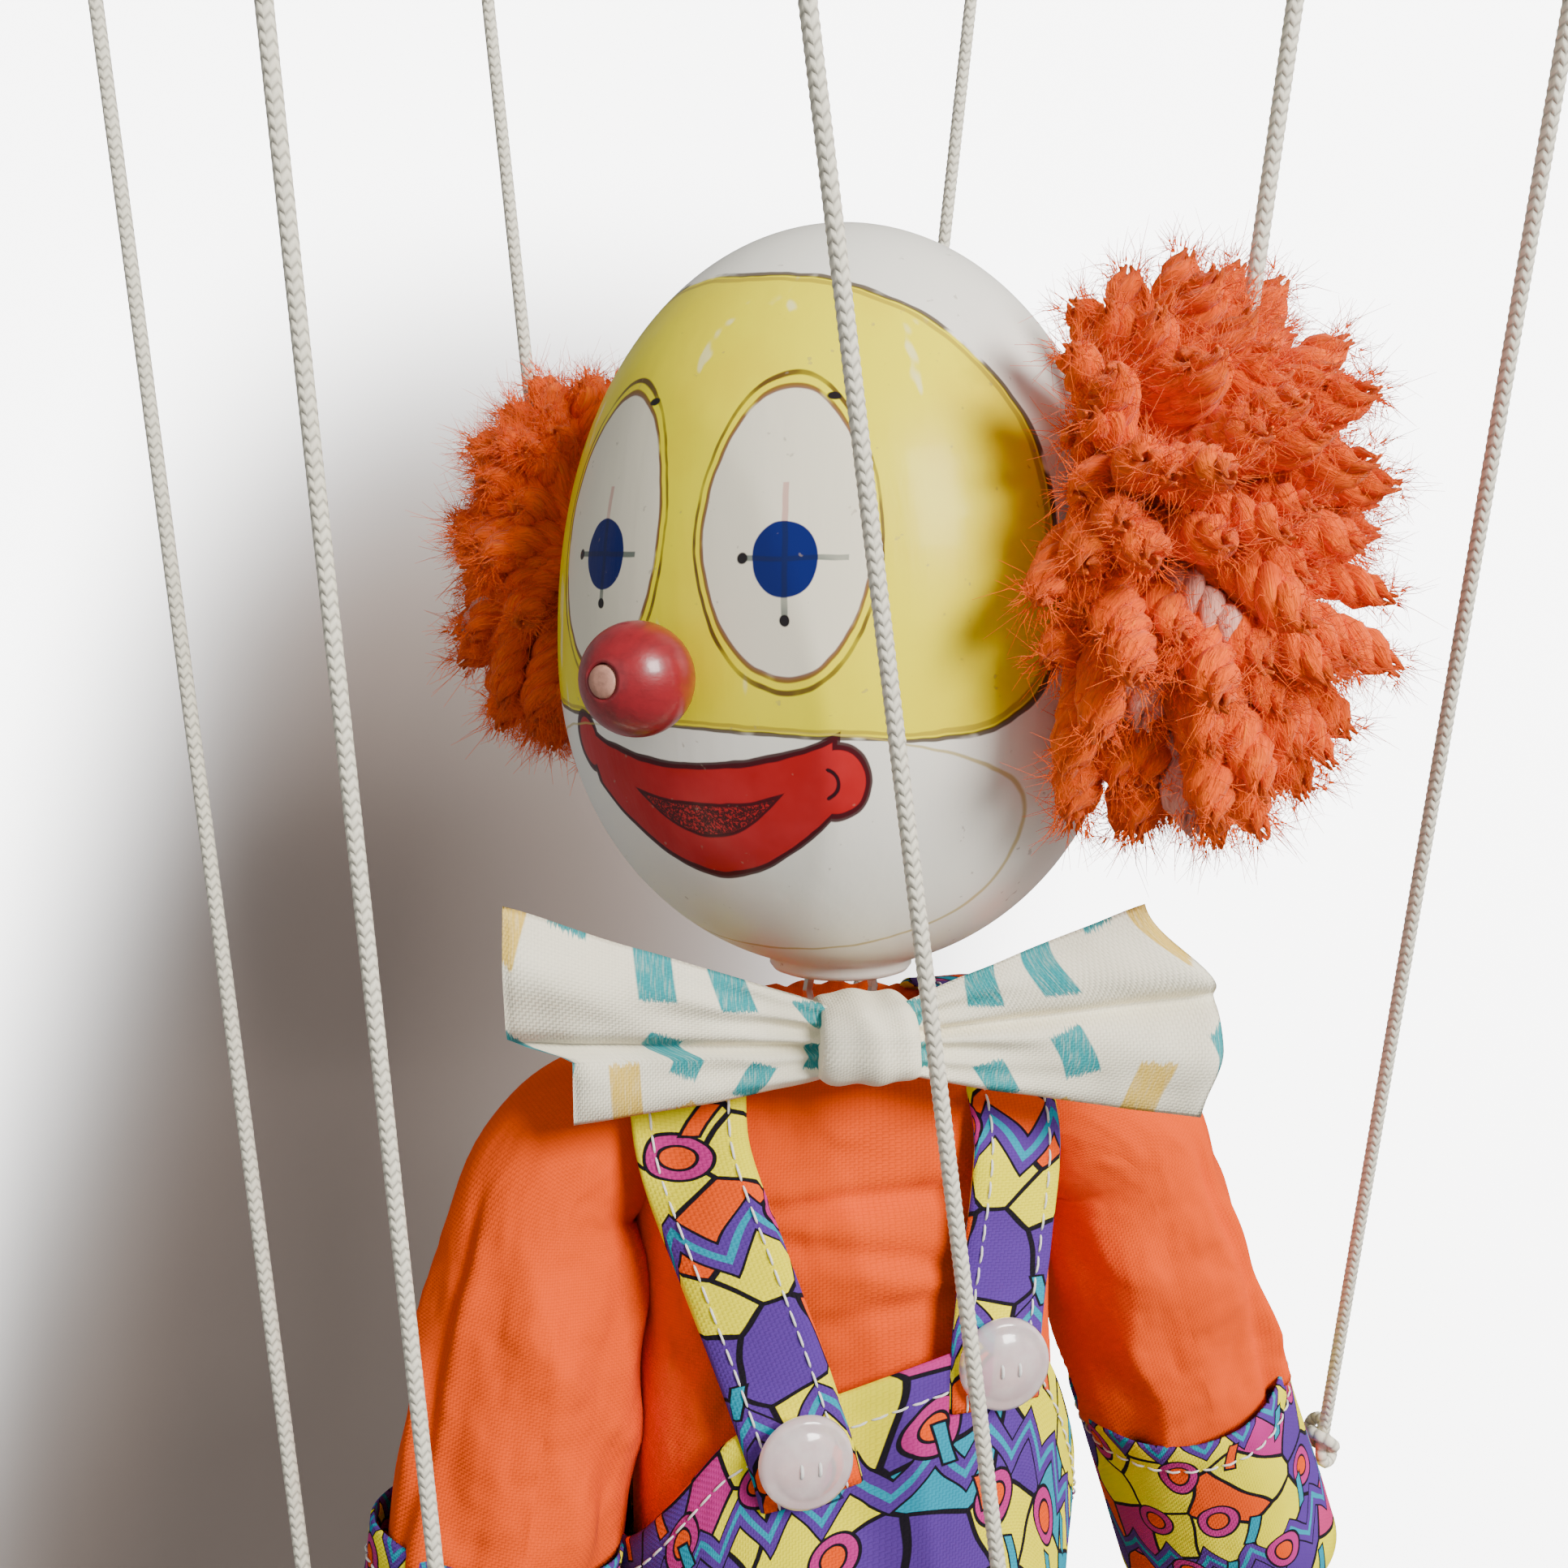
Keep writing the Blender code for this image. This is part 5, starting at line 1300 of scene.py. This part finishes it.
class MARIONETTE_OT_bow_tie(bpy.types.Operator):
    """Pleated bow tie with its knot"""
    bl_idname = "marionette.bow_tie"
    bl_label = "Bow tie"

    def execute(self, context):
        for side, sign in SIDES:
            wing = bow_wing(side, sign)
            finish_piece(wing, finish_of("cream"), "torso", ("bow_tie_wings",))
        half_y = (BOW_BACK_Y - BOW_Y + 4.9) / 2
        middle_y = BOW_BACK_Y - half_y
        rows = []
        for r in range(25):
            u = -1 + 2 * r / 24
            pinch = 1 - 0.16 * abs(u) ** 5
            row = []
            for turn in turns(56):
                y, z = square_turn(turn, 3.0)
                crease = 0.16 * math.cos(7 * u + 1.3 * math.sin(turn))
                crease += 0.18 * wander(u * 2, y * 2, z * 2, 5.0)
                row.append(Vector((5.0 * u * (1 - 0.04 * z), middle_y + (half_y * pinch + crease) * y,
                                   BOW_Z + (4.3 * pinch + crease) * z)))
            rows.append(row)
        band = skin("knot_band", rows, BOW, caps=(True, True))
        finish_piece(band, finish_of("plain_cream"), "torso", ("bow_tie_knot",))
        return {"FINISHED"}


def stitch_line(name, path, outs, body, base=FIGURE):
    """A row of white stitches that lie on the cloth along a path; outs are the cloth's outward directions."""
    pitch = sizes().stitch_pitch / MM
    run = runs(path)

    def at(want):
        k, share = step_at(run, want)
        return path[k].lerp(path[k + 1], share), outs[k].lerp(outs[k + 1], share).normalized()

    groups = []
    for s in range(int(run[-1] / pitch)):
        line = []
        for share in (0.02, 0.16, 0.44, 0.70, 0.82):
            point, out = at((s + share) * pitch)
            line.append(point + out * (0.24 * math.sin(math.pi * (share - 0.02) / 0.80) - 0.04))
        groups.append(sweep(line, lambda i, t: 0.14 if 0 < i < 4 else 0.08, 6))
    finish_piece(tubes(name, groups, base), finish_of("thread"), body)


# Shirt, in millimetres; each tuck is a height, a slope, a depth and a width
SLEEVE_LENGTH = 45.0
CUFF_LENGTH = 30.0
CUFF_STITCHES = 4.3
SHIRT_FOOT = -127.0
CHEST_TUCKS = ((-64.5, 0.06, 1.3, 1.2), (-71.0, -0.30, 1.1, 1.4), (-77.5, 0.22, 1.0, 1.5))


def sleeve(side, sign):
    """One sleeve: it leaves the shirt at the shoulder, puffs and hangs down the arm in soft folds."""
    path = smooth_path([(-sign * 15.0, 0.5, -1.0), (-sign * 7.5, 0.3, 3.0), (0, 0, -5.0),
                        (sign * 0.3, 0, -16.0), (0, 0, -31.0), (0, 0, -SLEEVE_LENGTH - 1.5)], 64)
    last = len(path) - 1

    def puff(i, turn):
        s = i / last
        cap = 3.0 if side == "left" else 1.8
        base = 7.7 + cap * ease(s, 0.06, 0.26) + (4.6 - cap) * ease(s, 0.30, 0.66) + 1.3 * s
        bent = turn + 0.5 * ring_wander(turn, 1.0, 4.0 * s, 15.0 + sign)
        long_fold = (0.5 - abs(math.sin(2.5 * bent + 1.2 * s + sign))) * 1.5 * ease(s, 0.18, 0.5)
        cross = (0.5 - abs(math.sin(9 * s + 1.6 * math.cos(bent + sign)))) * 0.9
        cross *= ease(s, 0.28, 0.5) * (1 - ease(s, 0.86, 1.0)) * (0.5 + 0.5 * math.cos(turn + 2.0 + sign))
        rough = 0.9 * ring_wander(turn, 2.1, 5.5 * s, 11.0 + sign)
        near = math.sin((turn + sign * 0.9) / 2)
        seam = 0.6 * math.exp(-(near * 15) ** 2) - 1.2 * math.exp(-((near + sign * 0.075) * 20) ** 2)
        return base + (long_fold + cross + rough) * ease(s, 0.30, 0.55) + seam * ease(s, 0.32, 0.45)

    rows = sweep(path, puff, 120, (0, -1, 0))
    tail = [[p + Vector((0, 0, 1.2)) - (p - path[-1]) * 0.10 for p in rows[-1]]]
    made = skin(f"{side}_shirt_sleeve", rows + tail, ARM[side])
    finish_piece(made, finish_of("orange"), None, (f"{side}_sleeve",))
    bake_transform(made)


def cuff(side, sign):
    """One printed cuff with its hems turned in and a line of stitches."""
    top = -SLEEVE_LENGTH + 0.6
    foot = -SLEEVE_LENGTH - CUFF_LENGTH
    profile = [(13.4, top - 9.0), (13.7, top - 1.0), (14.0, top - 0.1), (14.35, top - 0.5),
               (14.3, top - 3.6), (14.15, top - CUFF_STITCHES), (14.25, top - 5.2)]
    profile += [(14.2 + 0.5 * s, top - 5.2 + (foot - top + 5.9) * s) for s in (0.2, 0.4, 0.6, 0.8, 0.93)]
    profile += [(14.75, foot + 0.2), (14.5, foot), (14.1, foot + 0.6), (13.9, foot + 9.0)]

    def ripple(turn, z):
        wave = 0.45 * math.cos(3 * turn + 0.05 * z + sign)
        return wave + 0.4 * ring_wander(turn, 2, z * 0.06, 21.0 + sign)

    rows = []
    for radius, z in profile:
        row = []
        for turn in turns(80):
            reach_out = radius + ripple(turn, z)
            row.append(Vector((reach_out * math.cos(turn), reach_out * math.sin(turn), z)))
        rows.append(row)
    made = skin(f"{side}_print_cuff", rows, ARM[side], flip=True)
    finish_piece(made, finish_of("print"), f"{side}_arm", (f"{side}_cuff",))
    z = top - CUFF_STITCHES
    path = []
    outs = []
    for k in range(97):
        turn = FULL_TURN * k / 96
        out = Vector((math.cos(turn), math.sin(turn), 0))
        path.append(out * (14.22 + ripple(turn, z)) + UP * z)
        outs.append(out)
    stitch_line(f"{side}_cuff_stitches", path, outs, f"{side}_arm", ARM[side])


class MARIONETTE_OT_shirt(bpy.types.Operator):
    """Cotton shirt with puffed sleeves and printed cuffs"""
    bl_idname = "marionette.shirt"
    bl_label = "Shirt"

    def execute(self, context):
        count = 128
        rows = []
        for r in range(90):
            z = SHIRT_FOOT + (TORSO_TOP - SHIRT_FOOT) * r / 89
            row = []
            for turn in turns(count):
                free = ease(z, bib_edge(turn) + 1.0, bib_edge(turn) + 9.0)
                chest = max(0.0, -math.sin(turn))
                fold = 0.7 * ring_wander(turn, 1.7, z * 0.055, 31.0)
                slant = (0.5 - abs(math.sin(0.13 * z + 1.9 * math.cos(turn)))) * 1.3 * chest ** 2
                soft = 0.45 * ring_wander(turn, 4, z * 0.12, 33.0)
                x = body_half(z, SHIRT_GROW)[0] * math.cos(turn)
                tuck = sum(deep * math.exp(-((z - level - lean * x) / wide) ** 2)
                           for level, lean, deep, wide in CHEST_TUCKS)
                lie = fold + slant + soft - tuck * chest ** 2
                row.append(body_point(turn, z, SHIRT_GROW - 0.25 + free * (0.35 + lie)))
            rows.append(row)
        for grow, rise, keep in ((3.0, 1.2, 1.0), (1.6, 2.3, 0.93)):
            row = []
            for turn in turns(count):
                p = body_point(turn, TORSO_TOP, grow)
                row.append(Vector((p.x * keep, p.y * keep, TORSO_TOP + rise)))
            rows.append(row)
        for radius, z in ((14.0, -46.9), (12.4, -46.4), (10.6, -46.5), (9.4, -47.3), (9.2, -50.0)):
            row = []
            for turn in turns(count):
                gather = 0.35 * math.cos(19 * turn) * ease(radius, 9.0, 13.0)
                row.append(Vector((radius * math.cos(turn), radius * math.sin(turn), z + gather)))
            rows.append(row)
        front = skin("shirt_front", rows)
        finish_piece(front, finish_of("orange"), "torso", ("shirt_body",))
        for side, sign in SIDES:
            sleeve(side, sign)
            cuff(side, sign)
        return {"FINISHED"}


def bib_grow(turn, z):
    """How far the dungarees stand off the body: snug at the waist, loose at the bib's edge."""
    near_edge = ease(z, bib_edge(turn) - 26.0, bib_edge(turn))
    front = max(0.0, -math.sin(turn)) ** 1.5
    ruffle = 0.5 * ring_wander(turn, 2.2, z * 0.07, 51.0)
    return BIB_GROW + 0.2 + near_edge * (0.6 + 0.5 * front) + ruffle


def bib_rows(count):
    """Rings of the dungarees' body from the seat up, over the hem at the top and a little way down inside."""
    rows = []
    for z, wide, deep in ((-164.0, 5.0, 2.0), (-163.0, 14.0, 8.0), (-160.5, 22.0, 14.0)):
        rows.append([Vector((wide * math.cos(t), deep * math.sin(t), z)) for t in turns(count)])
    outside = 40
    for r in range(outside + 1):
        row = []
        for turn in turns(count):
            z = BIB_BOTTOM + (bib_edge(turn) - BIB_BOTTOM) * r / outside
            row.append(body_point(turn, z, bib_grow(turn, z)))
        rows.append(row)
    for drop, inset in ((-0.35, 0.35), (-0.1, 0.85), (1.2, 1.05), (5.0, 1.1), (9.0, 1.3)):
        row = []
        for turn in turns(count):
            z = bib_edge(turn) - drop
            row.append(body_point(turn, z, max(SHIRT_GROW + 0.1, bib_grow(turn, z) - inset)))
        rows.append(row)
    return rows


# Straps, in millimetres: points are a distance from the middle plane and a height
STRAP_WIDTH = 11.5
STRAP_TOP = -45.4
STRAP_COLUMNS = (-1, -0.93, -0.6, -0.2, 0.2, 0.6, 0.93, 1)
STRAP_FRONT = {"right": ((8.9, -95.5), (10.2, -90.5), (13.2, -81.0), (17.0, -70.0), (20.8, -58.0)),
               "left": ((12.3, -88.0), (12.4, -82.4), (13.0, -75.5), (13.9, -69.5), (15.2, -58.0))}
STRAP_SHOULDER = {"right": 20.8, "left": 15.5}
STRAP_BACK = ((15.2, -72.0), (11.8, -90.0), (11.5, -101.0))
BUTTONS = {"right": (10.2, -90.5), "left": (12.4, -82.4)}

# Radius and height of a button from its back to its dome
BUTTON = ((0.05, 0.0), (3.9, 0.0), (4.7, 0.35), (5.2, 1.1), (5.1, 1.75), (4.55, 2.15), (4.1, 2.1),
          (3.6, 2.45), (2.4, 2.95), (1.2, 3.2), (0.05, 3.3))

# Height over the button and rise of its thread
BUTTON_THREAD = ((3.0, -0.75), (3.35, -0.4), (3.42, 0.0), (3.35, 0.4), (3.0, 0.75))


def strap_path(side, sign):
    """Middle points of one strap, from the bib over the shoulder to the back."""
    points = []
    for x, z in STRAP_FRONT[side]:
        points.append((sign * x, -(body_depth(x, z, BIB_GROW) + 1.3), z))
    x = sign * STRAP_SHOULDER[side]
    points += [(x, -11.5, -49.6), (x, -5.0, STRAP_TOP), (x, 5.0, STRAP_TOP), (x, 11.5, -49.6)]
    for x, z in ((STRAP_SHOULDER[side], -58.0), *STRAP_BACK):
        points.append((sign * x, body_depth(x, z, BIB_GROW) + 1.1, z))
    return smooth_path(points, 120)


def strap(side, sign):
    """One strap: a folded ribbon that follows the body, with two lines of white stitches."""
    path = strap_path(side, sign)
    tangents = frames_along(path)
    half = STRAP_WIDTH / 2
    rows = []
    edges = {-1: [], 1: []}
    outs = {-1: [], 1: []}
    for i, p in enumerate(path):
        t = tangents[i][0]
        out = Vector((0, p.y, 0)).normalized() if abs(p.z - STRAP_TOP) > 4 else UP
        across = t.cross(out).normalized()
        out = across.cross(t).normalized()
        if across.x * sign < 0:
            across = -across

        def at(c, rise):
            """A point across the strap, dropped to follow the body's curve."""
            point = p + across * c * half
            if abs(out.y) > 0.6:
                face = math.copysign(1, p.y)
                depth = body_depth(min(abs(point.x), 24.0), point.z, BIB_GROW) + 1.2
                middle = body_depth(min(abs(p.x), 24.0), p.z, BIB_GROW) + 1.2
                point.y += face * 0.75 * (depth - middle)
            sway = 0.18 * wander(c * 1.5, i * 0.09, 1.0, 61.0 + sign)
            return point + out * (rise + sway)

        upper = [at(c, 0.55 if abs(c) < 0.99 else 0.1) for c in STRAP_COLUMNS]
        lower = [at(c, -0.5 if abs(c) < 0.99 else -0.1) for c in STRAP_COLUMNS[::-1]]
        rows.append(upper + lower)
        for c in (-1, 1):
            edges[c].append(at(0.66 * c, 0.58))
            outs[c].append(out)
    made = skin(f"{side}_print_strap", rows, caps=(True, True), flip=sign < 0)
    finish_piece(made, finish_of("print"), "torso", (f"{side}_strap",))
    length = path_length(path) * MM
    for c, word in ((-1, "inner"), (1, "outer")):
        stitch_line(f"{side}_strap_{word}_stitches", edges[c], outs[c], "torso")


def button(side, sign):
    """One clear domed button with a rim, sewn on with two threads."""
    x, z = BUTTONS[side]
    seat = -(body_depth(x, z, BIB_GROW) + 2.05)
    rows = []
    for r, h in BUTTON:
        rows.append([Vector((sign * x + r * math.cos(t), seat - h, z + r * math.sin(t))) for t in turns(48)])
    made = skin(f"{side}_clear_button", rows, caps=(True, True))
    finish_piece(made, finish_of("clear"), "torso", (f"{side}_strap_button",))
    groups = []
    for dx in (-1.0, 1.0):
        line = [Vector((sign * x + dx, seat - high, z + rise)) for high, rise in BUTTON_THREAD]
        groups.append(sweep(line, lambda i, t: 0.2, 6))
    finish_piece(tubes(f"{side}_button_thread", groups), finish_of("thread"), "torso")


# Legs, in millimetres
HIP = (15.5, -148.0)
KNEE = (30.808, -230.593)
TROUSER_LENGTH = 66.0
TROUSER_SPLIT = 0.58

# Size and rise of the rows that turn the hem in
HEM = ((0.985, -0.35), (0.955, -0.1), (0.93, 4.0), (0.92, 9.0))


def trouser_leg(side, sign):
    """One trouser leg: an upper piece from the seat to mid-thigh and a lower one down to the hem."""
    hip = Vector((sign * HIP[0], 0, HIP[1]))
    knee = Vector((sign * KNEE[0], 0, KNEE[1]))
    foot = knee - UP * TROUSER_LENGTH
    half_way = hip.lerp(knee, TROUSER_SPLIT)
    path = smooth_path([(sign * 12.4, 0, -143.0), (sign * 15.6, 0, -157.0), hip.lerp(knee, 0.30), half_way,
                        knee + Vector((-sign * 0.6, 0, 4)), knee - UP * 30, foot], 120)
    last = len(path) - 1

    def drape(i, turn):
        s = i / last
        base = 11.3 + 3.9 * ease(s, 0.0, 0.13) + 0.9 * ease(s, 0.5, 1.0)
        bunch = 0.8 * math.sin(34 * s + 1.6 * math.cos(turn)) * math.exp(-((s - 0.60) * 9) ** 2)
        fold = 0.6 * math.cos(4 * turn + 3 * s + sign) * ease(s, 0.6, 0.9)
        rough = 0.9 * ring_wander(turn, 2, 8 * s, 71.0 + sign)
        return base + (bunch + fold + rough) * ease(s, 0.06, 0.2)

    rows = sweep(path, drape, 72, (0, -1, 0))
    split = next(i for i, p in enumerate(path) if p.z < half_way.z)
    upper = skin(f"{side}_trouser_upper", rows[:split + 1])
    hem = [[foot + (p - foot) * shrink + UP * rise for p in rows[-1]] for shrink, rise in HEM]
    lower = skin(f"{side}_trouser_lower", rows[split:] + hem)
    for piece, node, bodies, start, end, cut in (
            (upper, f"{side}_trouser_thigh", ("torso", f"{side}_thigh"),
             hip + UP * 7, hip.lerp(knee, 0.17), (0.096, 0.056)),
            (lower, f"{side}_trouser_shin", (f"{side}_thigh", f"{side}_shin"),
             knee + Vector((-sign * 2.5, 0, 15)), knee - UP * 17, (0.100, 0.116))):
        finish_piece(piece, finish_of("print"), None, (node,))
        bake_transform(piece)
    line = rows[-9]
    middle = sum(line, Vector()) / len(line)
    outs = [(p - middle).normalized() for p in line]
    stitch_line(f"{side}_hem_stitches", line + line[:1], outs + outs[:1], f"{side}_shin")


class MARIONETTE_OT_dungarees(bpy.types.Operator):
    """Printed dungarees with straps, buttons, stitches and trouser legs"""
    bl_idname = "marionette.dungarees"
    bl_label = "Dungarees"

    def execute(self, context):
        bib = skin("bib", bib_rows(144), caps=(True, False))
        finish_piece(bib, finish_of("print"), "torso", ("dungarees_body",))
        path = []
        outs = []
        for k in range(289):
            turn = FULL_TURN * k / 288
            z = bib_edge(turn) - 3.8
            path.append(body_point(turn, z, bib_grow(turn, z) + 0.03))
            outs.append(Vector((math.cos(turn), math.sin(turn), 0)))
        stitch_line("bib_hem_stitches", path, outs, "torso")
        for side, sign in SIDES:
            strap(side, sign)
            button(side, sign)
            trouser_leg(side, sign)
        return {"FINISHED"}


def melted(name, groups, base, voxel):
    """Closed forms melted into one smooth body."""
    points, faces, _ = join_rows(groups)
    made = mesh_object(name, points, faces, base)
    work = bmesh.new()
    work.from_mesh(made.data)
    bmesh.ops.recalc_face_normals(work, faces=work.faces)
    work.to_mesh(made.data)
    work.free()
    melt = made.modifiers.new("melt", "REMESH")
    melt.mode = "VOXEL"
    melt.voxel_size = voxel * MM
    melt.use_smooth_shade = True
    soften = made.modifiers.new("soften", "SMOOTH")
    soften.factor = 0.5
    soften.iterations = 4
    bpy.context.view_layer.update()
    done = bpy.data.meshes.new_from_object(made.evaluated_get(bpy.context.evaluated_depsgraph_get()))
    made.modifiers.clear()
    made.data = done
    done.shade_smooth()
    return made


def oval_row(half_x, half_y, z, power=2.3, ahead=0.0, count=32):
    """A level ring on a rounded oval."""
    row = []
    for turn in turns(count):
        x, y = square_turn(turn, power)
        row.append(Vector((half_x * x, ahead + half_y * y, z)))
    return row


# Hands, in millimetres; the palm's rows are shares of its length, width and depth
HAND_ROOT = 6.3
PALM_HALF = (5.8, 9.0)
PALM_LENGTH = 26.0
PALM = ((0, 0.50, 0.50), (0.06, 0.62, 0.60), (0.18, 0.86, 0.85), (0.36, 1.0, 0.99), (0.52, 0.98, 0.99),
        (0.70, 0.88, 0.90), (0.86, 0.72, 0.70), (0.96, 0.46, 0.45), (1.0, 0.22, 0.22))
THUMB = ((0, -4.0, 6.5), (0, -8.4, 9.5), (0, -11.0, 14.0), (0, -11.4, 17.0))


class MARIONETTE_OT_hands(bpy.types.Operator):
    """Carved mitten hands"""
    bl_idname = "marionette.hands"
    bl_label = "Hands"

    def execute(self, context):
        for side, _ in SIDES:
            palm = []
            for share, wide, deep in PALM:
                level = -HAND_ROOT - share * PALM_LENGTH
                palm.append(oval_row(PALM_HALF[0] * wide, PALM_HALF[1] * deep, level))
            tongue = [oval_row(1.5, 2.9, z, 6.0) for z in (-HAND_ROOT - 9.0, 2.4)]
            line = smooth_path([(x, y, -HAND_ROOT - drop) for x, y, drop in THUMB], 14)
            thumb = sweep(line, lambda i, t: 2.9 - 0.09 * i if i < 12 else 1.5, 20)
            hand = melted(f"{side}_mitten", [palm, thumb], HAND[side], 0.6)
            finish_piece(hand, finish_of("white"), f"{side}_hand", (f"{side}_hand",))
            peg = melted(f"{side}_wrist_tongue", [tongue], HAND[side], 0.35)
            finish_piece(peg, finish_of("limb_wood"), f"{side}_hand")
        return {"FINISHED"}


# Shoes, in millimetres; rows are a share of the height and a size
SHOE_FOOT = -15.5
SHOE_HEIGHT = 20.0
SHOE_HALF = (12.0, 27.0)
SHOE_AHEAD = -11.0
SHOE_UPPER = ((0.14, 0.97), (0.24, 1.0), (0.40, 1.005), (0.55, 0.97), (0.70, 0.89), (0.82, 0.78),
              (0.92, 0.64), (0.97, 0.50), (1.0, 0.36))
SHOE_SOLE = ((0.0, 0.96), (0.012, 1.0), (0.10, 1.035), (0.145, 1.03), (0.165, 1.0), (0.16, 0.9))
LACE_AHEAD = -13.5
LACE_LOOP = ((0.4, 0.0, 17.6), (3.2, 0.8, 19.4), (6.2, 0.6, 18.6), (6.4, -0.6, 16.6), (3.4, -0.3, 16.9),
             (0.4, 0.0, 17.4))
LACE_TAIL = ((0.3, 0.2, 17.4), (2.4, 2.6, 16.6), (4.4, 5.0, 15.2))


def shoe_row(share, size, ahead):
    """One level ring of a shoe."""
    return oval_row(SHOE_HALF[0] * size, SHOE_HALF[1] * size, SHOE_FOOT + share * SHOE_HEIGHT, 2.3, ahead, 72)


class MARIONETTE_OT_shoes(bpy.types.Operator):
    """Round-toed shoes with soles and bows"""
    bl_idname = "marionette.shoes"
    bl_label = "Shoes"

    def execute(self, context):
        for side, _ in SIDES:
            upper = []
            for share, size in SHOE_UPPER:
                upper.append(shoe_row(share, size, SHOE_AHEAD + (1 - size) * 2 * SHOE_HALF[1] * 0.22))
            made = skin(f"{side}_shoe_upper", upper, SHOE[side], caps=(True, True))
            finish_piece(made, finish_of("red"), f"{side}_shoe", (f"{side}_shoe",))
            tread = [shoe_row(share, size, SHOE_AHEAD) for share, size in SHOE_SOLE]
            made = skin(f"{side}_shoe_sole", tread, SHOE[side], caps=(True, True))
            finish_piece(made, finish_of("black"), f"{side}_shoe")
            groups = []
            for way in (-1, 1):
                for bend, count, thick in ((LACE_LOOP, 40, 0.62), (LACE_TAIL, 16, 0.6)):
                    line = smooth_path([(way * x, LACE_AHEAD - y, SHOE_FOOT + z) for x, y, z in bend], count)
                    groups.append(sweep(line, lambda i, t, half=thick: half, 10))
            lace = tubes(f"{side}_shoe_lace", groups, SHOE[side])
            finish_piece(lace, finish_of("thread"), f"{side}_shoe")
        return {"FINISHED"}


# Nodes of the frame that show as they are
CROSS_BARS = ["head_bar", "hand_bar", "leg_bar"]
HARDWARE = ["shoulder_wire", "hip_wire", "torso_neck_eye", "head_neck_eye", "seat_eye"]
HARDWARE += [f"{bar}_screw" for bar in CROSS_BARS]
HARDWARE += [f"{side}_{name}" for side, _ in SIDES
             for name in ("ear_eye", "wrist_pin", "knee_pin", "ankle_pin")]
LIMBS = ["torso_block"] + [f"{side}_{name}" for side, _ in SIDES for name in ("arm", "thigh", "shin")]


class MARIONETTE_OT_woodwork(bpy.types.Operator):
    """Control bars, limbs and steel fittings of the frame"""
    bl_idname = "marionette.woodwork"
    bl_label = "Woodwork"

    def execute(self, context):
        looks = {"main_bar": "wood"}
        for names, look in ((CROSS_BARS, "cross_wood"), (HARDWARE, "steel"), (LIMBS, "limb_wood")):
            looks.update({name: look for name in names})
        for name, look in looks.items():
            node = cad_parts[name]
            node.data.materials.clear()
            node.data.materials.append(finish_of(look))
            if name.endswith("_bar"):
                bevel = node.modifiers.new("eased_edges", "BEVEL")
                bevel.width = 0.0012
                bevel.segments = 3
                bevel.limit_method = "ANGLE"
                bevel.angle_limit = math.radians(50)
        return {"FINISHED"}


STEPS = (MARIONETTE_OT_stage, MARIONETTE_OT_cords, MARIONETTE_OT_head, MARIONETTE_OT_hair,
         MARIONETTE_OT_bow_tie, MARIONETTE_OT_shirt, MARIONETTE_OT_dungarees, MARIONETTE_OT_hands,
         MARIONETTE_OT_shoes, MARIONETTE_OT_woodwork)


class MARIONETTE_PT_panel(bpy.types.Panel):
    """Sizes, colours and steps"""
    bl_idname = "MARIONETTE_PT_panel"
    bl_label = "Marionette"
    bl_space_type = "VIEW_3D"
    bl_region_type = "UI"
    bl_category = "Marionette"

    def draw(self, context):
        column = self.layout.column()
        for group in (context.scene.figure_sizes, context.scene.figure_colours):
            for key in group.__annotations__:
                column.prop(group, key)
        for step in STEPS:
            column.operator(step.bl_idname)


CLASSES = (FigureSizes, FigureColours, *STEPS, MARIONETTE_PT_panel)


def register():
    for made in CLASSES:
        bpy.utils.register_class(made)
    bpy.types.Scene.figure_sizes = bpy.props.PointerProperty(type=FigureSizes)
    bpy.types.Scene.figure_colours = bpy.props.PointerProperty(type=FigureColours)


def unregister():
    del bpy.types.Scene.figure_sizes
    del bpy.types.Scene.figure_colours
    for made in reversed(CLASSES):
        bpy.utils.unregister_class(made)


def main():
    register()
    for step in STEPS:
        group, name = step.bl_idname.split(".")
        getattr(getattr(bpy.ops, group), name)()


if __name__ == "__main__":
    main()
